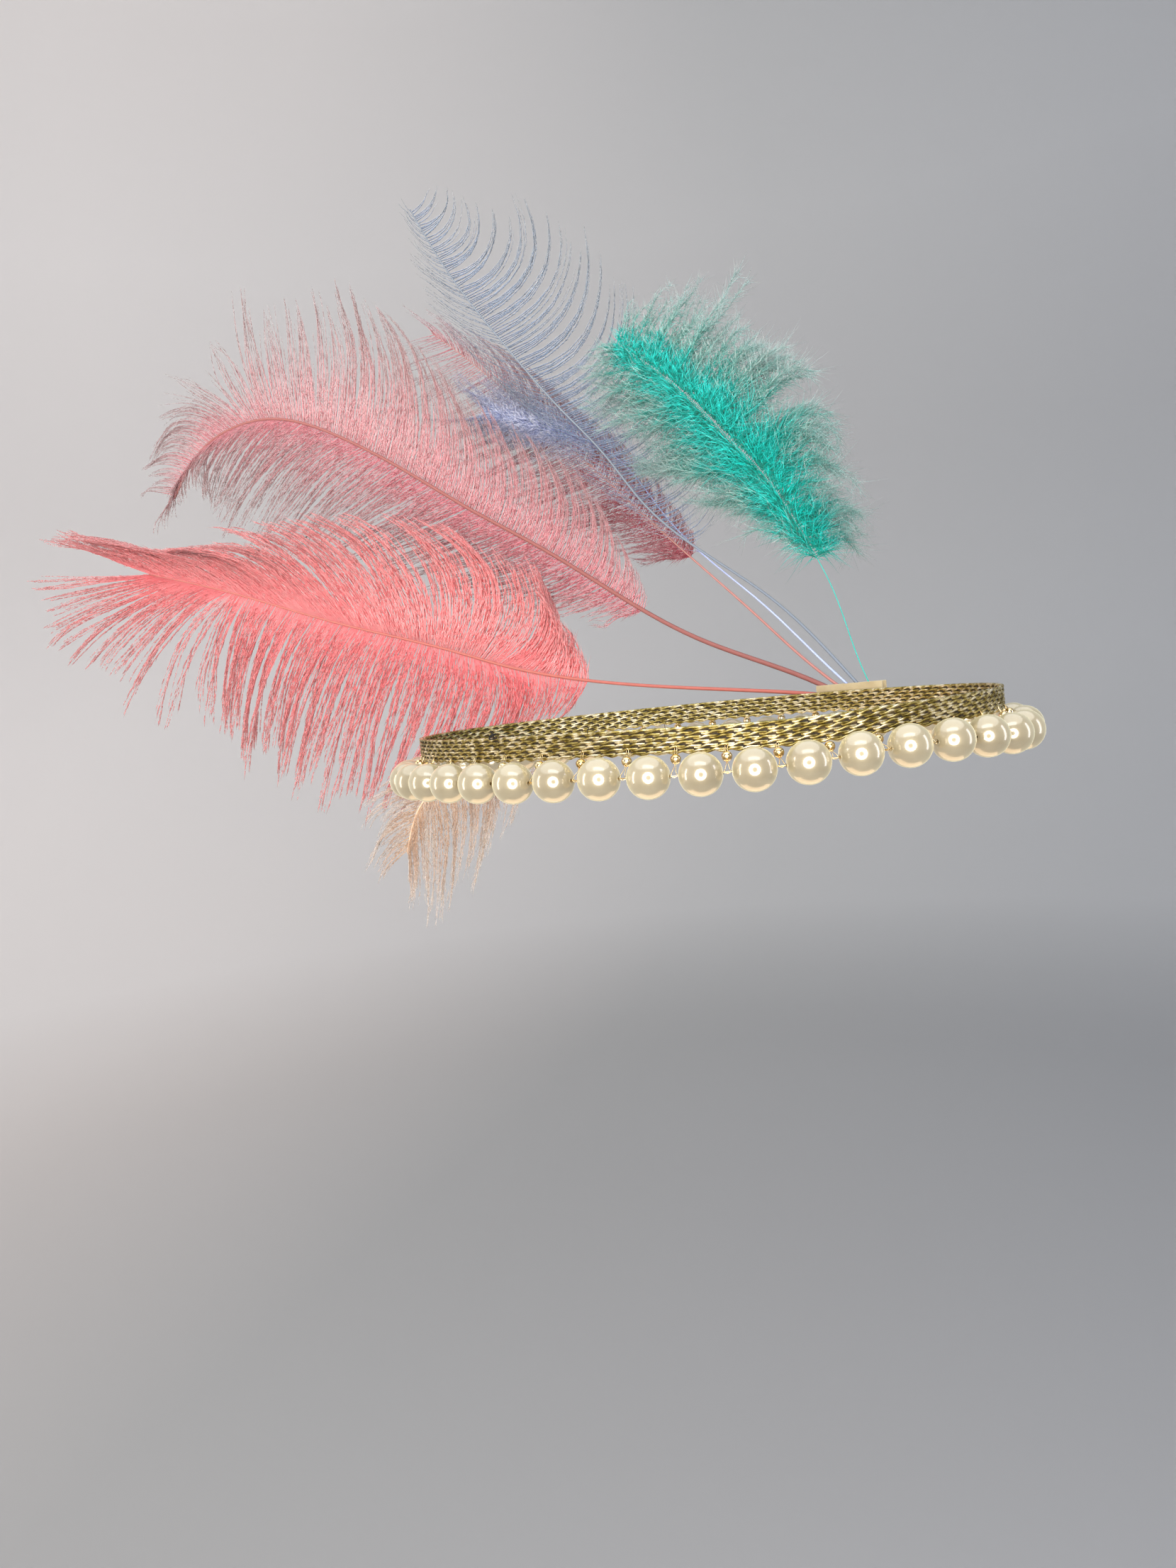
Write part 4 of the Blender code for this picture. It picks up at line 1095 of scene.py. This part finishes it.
def grow_barbules(vane, look, count, draw):
    """Corners, triangles and tones of the barbules, spread evenly along all barbs of a vane."""
    weight = vane.lengths() * np.clip(vane.reach, 0.1, 1.0) * vane.thick
    barb = draw.choice(vane.count, count, p=weight / weight.sum())
    share = draw.uniform(0.0, 1.0, count) ** look["near_shaft"]
    share = 0.015 + 0.98 * share
    foot = vane.at(barb, share)
    ahead = vane.at(barb, share + 0.012) - foot
    ahead /= np.maximum(np.linalg.norm(ahead, axis=1), 1e-6)[:, None]
    across = np.cross(ahead, DEEP)
    across /= np.maximum(np.linalg.norm(across, axis=1), 1e-6)[:, None]
    lean = np.radians(draw.uniform(look["lean"][0], look["lean"][1], count)) * (1 - look["lay"] * share)
    roll = np.radians(draw.normal(0, look["roll"], count))
    side = np.where(draw.uniform(0, 1, count) < 0.5, -1.0, 1.0)
    out = across * (side * np.cos(roll))[:, None] + DEEP * np.sin(roll)[:, None]
    way = ahead * np.cos(lean)[:, None] + out * np.sin(lean)[:, None]
    size = look["fluff"] * (0.3 + 1.1 * draw.uniform(0, 1, count) ** 2) * (1 - look["fluff_taper"] * share)
    size *= vane.slim[barb]
    first, second = frame_round(way)
    corners = []
    for j in range(3):
        turn = 2 * math.pi * j / 3
        corners.append(foot + look["hair_radius"] * (math.cos(turn) * first + math.sin(turn) * second))
    corners.append(foot + way * size[:, None])
    base = np.arange(count) * 4
    faces = [np.stack([base, base + 2, base + 1], axis=-1)]
    for j in range(3):
        faces.append(np.stack([base + j, base + (j + 1) % 3, base + 3], axis=-1))
    tones = np.stack([share, vane.shade[barb]], axis=-1)
    tones = tones[:, None].repeat(4, axis=1)
    # The barbule's tip is a little paler still, like the barb ends: thinner dye and painted light.
    tones[:, 3, 0] = np.minimum(1.0, tones[:, 3, 0] + 0.18)
    return np.stack(corners, axis=1).reshape(-1, 3), np.concatenate(faces), tones.reshape(-1, 2)


def grow_shaft(plume, look):
    """The quill and shaft: a tapering tube, round at the root and hair-fine at the tip."""
    path, length, _ = shaft_of(plume)
    marks = np.linspace(0, length[-1] + look["tip_over"], 70)
    marks = np.clip(marks, 0, length[-1])
    marks = np.unique(marks)
    spine = np.stack([np.interp(marks, length, path[:, c]) for c in range(3)], axis=-1)
    share = marks / length[-1]
    radius = look["shaft"][0] + (look["shaft"][1] - look["shaft"][0]) * share
    if look["downy"]:
        share = share * 0
    points, faces = tube(spine, radius, 8, False, np.broadcast_to(DEEP, spine.shape))
    return points, faces, np.stack([share, np.full(len(share), 0.5)], axis=-1).repeat(8, axis=0)


def build_plume(name, plume, look, vane_dye, shaft_dye):
    """Joins shaft, barbs and barbules of one plume into one mesh with its two tones."""
    draw = np.random.default_rng(look["seed"])
    parts = []
    for side in ("upper", "lower"):
        side_look = {**look, **look[side]}
        vane = Vane(plume, plume[side], side_look, draw)
        parts.append(grow_barbs(vane, side_look))
        parts.append(grow_barbules(vane, side_look, side_look["barbules"], draw))
    corners, faces, tones, start = [], [], [], 0
    for part_corners, part_faces, part_tones in parts:
        corners.append(part_corners)
        faces.append(part_faces + start)
        tones.append(part_tones)
        start += len(part_corners)
    points, shaft_faces, shaft_tones = grow_shaft(plume, look)
    hairs = np.concatenate(faces)
    faces = hairs.tolist() + [tuple(start + corner for corner in face) for face in shaft_faces]
    piece = piece_from(name, np.concatenate(corners + [points]), faces, vane_dye)
    piece.data.materials.append(shaft_dye)
    slots = np.zeros(len(faces), dtype=np.int32)
    slots[len(hairs):] = 0 if look["downy"] else 1
    piece.data.polygons.foreach_set("material_index", slots)
    values = np.concatenate(tones + [shaft_tones])
    for column, label in enumerate(("outward", "lock_shade")):
        layer = piece.data.attributes.new(label, "FLOAT", "POINT")
        layer.data.foreach_set("value", values[:, column].astype(np.float32))
    return piece


# %% [markdown]
# Feathers are keratin, dyed in a bath. The dye sits deepest near the shaft, and the barbs pale
# towards their ends: partly thinner dye, partly painted light for the light that comes through
# them. Two colours and a pale tip are enough; the shaft takes the dye badly and stays brownish.
# Keratin is hardly shiny, so the shader is rough, with a little sheen for the down. Light also goes
# some way through the barbs and comes out tinted, which keeps the shadows between them soft.

# %% Dyed feather materials
def feather_dye(name, deep, middle, pale, cover_at_tip):
    """A dyed vane: deep at the shaft, pale at the ends (thinner dye and painted light) and see-through there, uneven
    from lock to lock.
    """
    dye = new_material(name)
    outward = add_node(dye, "ShaderNodeAttribute", attribute_name="outward")
    lock = add_node(dye, "ShaderNodeAttribute", attribute_name="lock_shade")
    spot = add_node(dye, "ShaderNodeTexCoord")
    patch = add_node(dye, "ShaderNodeTexNoise", {
        "Vector": spot.outputs["Object"], "Scale": 60.0, "Detail": 2.0})
    uneven = add_node(dye, "ShaderNodeMath", {0: patch.outputs["Fac"], 1: 0.5, 2: -0.25},
                      operation="MULTIPLY_ADD")
    drift = add_node(dye, "ShaderNodeMath", {0: lock.outputs["Fac"], 1: 0.3, 2: -0.15},
                     operation="MULTIPLY_ADD")
    total = add_node(dye, "ShaderNodeMath", {0: outward.outputs["Fac"], 1: uneven.outputs[0]}, operation="ADD")
    total = add_node(dye, "ShaderNodeMath", {0: total.outputs[0], 1: drift.outputs[0]}, operation="ADD")
    # Deep near the shaft and paler outwards: thinner dye, and painted light for the light through the ends.
    tone = add_node(dye, "ShaderNodeValToRGB", {0: total.outputs[0]},
                    stops=[(0.0, deep), (0.45, middle), (1.0, pale)])
    thin = add_node(dye, "ShaderNodeMapRange", {
        0: outward.outputs["Fac"], "From Min": 0.1, "From Max": 1.0, "To Min": 0.9,
        "To Max": cover_at_tip})
    add_node(dye, SHADER, {"Base Color": tone.outputs["Color"], "Alpha": thin.outputs[0], "Roughness": 0.75,
                           "Specular IOR Level": 0.15, "IOR": 1.54,
                           "Sheen Weight": 0.06, "Sheen Roughness": 0.5,
                           "Subsurface Weight": 0.7, "Subsurface Scale": 0.003,
                           "Subsurface Radius": (1.0, 0.8, 0.7)})
    return dye


def shaft_dye(name, root, tip):
    """A shaft: smooth horny keratin, browner at the root, with fine lengthwise streaks."""
    horn = new_material(name)
    share = add_node(horn, "ShaderNodeAttribute", attribute_name="outward")
    spot = add_node(horn, "ShaderNodeTexCoord")
    streak = add_node(horn, "ShaderNodeTexNoise", {
        "Vector": spot.outputs["Object"], "Scale": 300.0, "Detail": 2.0})
    mixed = add_node(horn, "ShaderNodeMath", {0: streak.outputs["Fac"], 1: 0.3, 2: share.outputs["Fac"]},
                     operation="MULTIPLY_ADD")
    tone = add_node(horn, "ShaderNodeValToRGB", {0: mixed.outputs[0]}, stops=[(0.1, root), (1.0, tip)])
    add_node(horn, SHADER, {"Base Color": tone.outputs["Color"], "Roughness": 0.45, "IOR": 1.54})
    return horn


# %% [markdown]
# The plumes differ as much in build as in colour. The coral and rose ones are curly and full,
# the blue one is a bare comb of stiff curved barbs, and the teal and lavender ones are down. The
# numbers below are the recipe of each.

# %% Recipes
COMMON = {
    "barb_radius": 0.18, "hair_radius": 0.15, "fluff": 4.0, "fluff_taper": 0.3, "lean": (12, 55),
    "roll": 45, "near_shaft": 1.0, "lock": 4.0, "cling": 0.6, "cling_late": 1.3, "ragged": 0.2,
    "stray": 0.22, "stray_pale": 0.4, "depth": 6.0, "sway": 1.5, "waves": 1.2, "shaft": (0.85, 0.3),
    "tip_over": 0.0, "longer": 1.0, "crowd": 1.0, "fade": 0.0, "downy": False, "slim_tip": 0.6, "lay": 0.7, "cover_at_tip": 0.3, "thick": ((-50, 1.0), (0, 1.0), (300, 1.0)),
}
LOOKS = {
    "plume_coral": {"seed": 11, "cover_at_tip": 0.5, "fade": 1.4, "near_shaft": 0.85, "fluff": 7.5, "crowd": 0.95, "fluff_taper": 0.3,
                    "lean": (4, 26), "barb_radius": 0.22, "hair_radius": 0.22, "shaft": (0.8, 0.35),
                    "ragged": 0.25,
                    "upper": {"barbs": 560, "barbules": 22500, "hair_radius": 0.26, "depth": 8.0, "sway": 2.2, "lock": 8.0,
                              "cling": 0.25, "stray": 0.3, "longer": 1.12},
                    "lower": {"barbs": 500, "barbules": 16500, "hair_radius": 0.34, "lock": 3.4, "cling": 0.6, "sway": 2.2,
                              "waves": 1.0, "near_shaft": 0.65, "fluff": 6.5, "stray": 0.25,
                              "ragged": 0.18, "longer": 1.16}},
    "plume_rose": {"seed": 12, "fluff": 5.2, "shaft": (1.0, 0.5), "barb_radius": 0.2, "hair_radius": 0.18,
                   "lean": (5, 30), "stray": 0.35, "fade": 2.0, "fluff_taper": 0.4,
                   "upper": {"barbs": 520, "barbules": 18500, "lock": 7.0, "cling": 1.2, "cling_late": 2.2,
                             "ragged": 0.3, "near_shaft": 1.1, "sway": 2.0},
                   "lower": {"barbs": 460, "barbules": 16500, "hair_radius": 0.26, "lock": 5.0,
                             "cling": 0.4, "sway": 2.0,
                             "near_shaft": 0.8, "longer": 1.15}},
    "plume_blue": {"seed": 13, "lock": 5.5, "cling": 1.2, "fluff": 2.6, "barb_radius": 0.16, "lean": (8, 35),
                   "shaft": (0.6, 0.28), "ragged": 0.16, "hair_radius": 0.12, "stray": 0.15,
                   "upper": {"barbs": 170, "barbules": 9500, "depth": 3.0, "crowd": 0.85,
                             "barb_radius": 0.24, "cling_late": 0.7,
                             "thick": ((-30, 0.2), (30, 0.6), (70, 0.9), (180, 0.6))},
                   "lower": {"barbs": 80, "barbules": 3500, "depth": 3.0, "hair_radius": 0.1, "cling": 0.4,
                             "barb_radius": 0.12, "crowd": 0.8, "thick": ((-30, 0.2), (40, 0.5), (80, 0.7), (180, 0.5))}},
    "plume_rose_back": {"seed": 14, "lock": 6.0, "cling": 0.8, "fade": 2.5, "stray": 0.4, "ragged": 0.4,
                        "shaft": (0.6, 0.15), "crowd": 1.5, "fluff": 5.5, "depth": 11.0,
                        "thick": ((-25, 1.3), (60, 1.0), (110, 0.4), (150, 0.2)),
                        "upper": {"barbs": 190, "barbules": 8500},
                        "lower": {"barbs": 190, "barbules": 8500}},
    "plume_lavender": {"seed": 15, "lock": 4.0, "cling": 0.2, "fluff": 9.0, "hair_radius": 0.13,
                       "barb_radius": 0.1, "lean": (15, 85), "lay": 0.0, "roll": 80, "depth": 8.0, "ragged": 0.4,
                       "shaft": (0.4, 0.15), "downy": True, "near_shaft": 1.6, "fade": -1.5,
                       "crowd": 0.6, "thick": ((-25, 0.1), (0, 0.1), (45, 0.3), (78, 2.6), (104, 3.2)),
                       "upper": {"barbs": 90, "barbules": 5500}, "lower": {"barbs": 90, "barbules": 5500}},
    "plume_teal": {"seed": 16, "lock": 3.0, "cling": 0.1, "fluff": 12.5, "hair_radius": 0.15,
                   "barb_radius": 0.1, "lean": (0, 80), "lay": 0.0, "roll": 85, "depth": 12.0, "near_shaft": 1.5,
                   "shaft": (0.16, 0.1), "downy": True, "sway": 3.5, "waves": 1.2, "ragged": 0.5, "stray": 0.5, "fade": 0.9,
                   "fluff_taper": 0.1,
                   "upper": {"barbs": 170, "barbules": 17500}, "lower": {"barbs": 160, "barbules": 15000}},
    "plume_peach": {"seed": 17, "lock": 5.0, "cling": 0.5, "fluff": 5.5, "stray": 0.4, "ragged": 0.3,
                    "hair_radius": 0.18, "stray_pale": 1.6,
                    "upper": {"barbs": 130, "barbules": 5500}, "lower": {"barbs": 170, "barbules": 7000}},
}
# Columns: deep, middle and pale colour of the vane, then root and tip of the shaft.
DYES = {
    "plume_coral": ("F6666B", "F77679", "EF898A", "8A4C44", "A8625A"),
    "plume_rose": ("D06873", "D37F86", "B48A8B", "6E403C", "8A5652"),
    "plume_blue": ("546A88", "5C7089", "6F8092", "5F6874", "6F7782"),
    "plume_rose_back": ("A83C4C", "B4616C", "B0868E", "8A5A54", "A67C78"),
    "plume_lavender": ("95A3D8", "9BA0C2", "A49DAF", "A9AEC6", "AEB0C2"),
    "plume_teal": ("00AE98", "10AC9C", "86B0AC", "14C2AE", "3ABFB0"),
    "plume_peach": ("DAA882", "DDB293", "E8D6C6", "C09C80", "CDAE94"),
}
BATHS = {
    "plume_coral": "ostrich_feather_dyed_coral", "plume_rose": "ostrich_feather_dyed_rose",
    "plume_blue": "ostrich_feather_dyed_pale_blue", "plume_rose_back": "ostrich_feather_dyed_dusty_rose",
    "plume_lavender": "marabou_down_dyed_lavender", "plume_teal": "marabou_down_dyed_teal",
    "plume_peach": "ostrich_feather_dyed_peach",
}

# %% Seven plumes
lit_by_feather_panel = bpy.data.collections.new("lit_by_feather_panel")
bpy.data.objects["feather_panel"].light_linking.receiver_collection = lit_by_feather_panel
for node, look in LOOKS.items():
    deep, middle, pale, root, tip = DYES[node]
    vane = feather_dye(BATHS[node], deep, middle, pale, look.get("cover_at_tip", COMMON["cover_at_tip"]))
    horn = shaft_dye(BATHS[node] + "_shaft", root, tip)
    plume = build_plume(node.replace("plume_", "") + "_plume", PLUMES[node], {**COMMON, **look}, vane, horn)
    dress(plume, node, node)
    lit_by_feather_panel.objects.link(plume)

# %% [markdown]
# ## Loose ends
#
# Hand-made things have them. A knot of black sewing thread sits on the braid's upper edge near
# the back, and two short fibres stand up from the edge further forward.

# %% Knot and fibres
sewing_thread = new_material("polyester_thread_spun_black")
sewing_place = add_node(sewing_thread, "ShaderNodeTexCoord")
sewing_grain = add_node(sewing_thread, "ShaderNodeTexNoise", {
    "Vector": sewing_place.outputs["Object"], "Scale": 2500.0, "Detail": 2.0})
sewing_tone = add_node(sewing_thread, "ShaderNodeValToRGB", {0: sewing_grain.outputs["Fac"]},
                       stops=[(0.3, "0E0D0C"), (0.7, "2B2724")])
add_node(sewing_thread, SHADER, {"Base Color": sewing_tone.outputs["Color"], "Roughness": 0.8})

EDGE_TOP = 3.75
# Each end: share of the loop, then points as steps along, outwards and up in mm, and radius.
knot_turns = [(0.9 * math.sin(2.1 * t), 0.75 + 0.75 * math.cos(3.3 * t), 0.35 + 0.75 * math.sin(1.7 * t + 0.5))
              for t in np.linspace(0, 7.0, 40)]
LOOSE_ENDS = (
    ((-41.1, -65.9), knot_turns, 0.2),
    ((-41.1, -65.9), [(0.4, 0.8, 0.6), (0.1, 1.0, 1.5), (-0.5, 0.9, 2.1)], 0.15),
    ((-41.1, -65.9), [(1.0, 0.8, 0.2), (5.0, 0.75, 0.25), (12.0, 0.8, 0.1), (20.0, 0.7, 0.15)], 0.09),
    ((-8.4, -72.5), [(0.0, 0.6, -0.4), (0.2, 0.9, 0.6), (0.7, 0.9, 1.1)], 0.12),
    ((14.4, -72.0), [(-0.3, 0.6, -0.6), (-0.4, 0.8, 0.6), (0.1, 0.9, 1.7), (0.7, 0.8, 2.5)], 0.07),
)
end_points, end_faces = [], []
for (x, y), steps, radius in LOOSE_ENDS:
    out = Vector((x / HEAD_HALF_LENGTH ** 2, y / HEAD_HALF_WIDTH ** 2, 0)).normalized()
    along = Vector((-out.y, out.x, 0))
    nearest = np.argmin(np.linalg.norm(braid_line[:, :2] - np.array((x, y)), axis=1))
    spot = Vector((x, y, EDGE_TOP - float(band_drop(braid_shares[nearest]))))
    path = np.array([spot + along * a + out * o + Vector((0, 0, h)) for a, o, h in steps])
    start = sum(len(part) for part in end_points)
    points, faces = tube(path, radius, 5, False, np.broadcast_to(np.array(out), path.shape))
    end_points.append(points)
    end_faces += [tuple(start + corner for corner in face) for face in faces]
loose = piece_from("loose_thread_ends", np.concatenate(end_points), end_faces, sewing_thread)
dress(loose, "gold_braid")

# %% [markdown]
# ## Measuring
#
# The box round the dressed headband is printed. The dressed headband must not outgrow
# the sized one.

# %% Sizes
low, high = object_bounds()
print("dressed model from", low, "to", high)
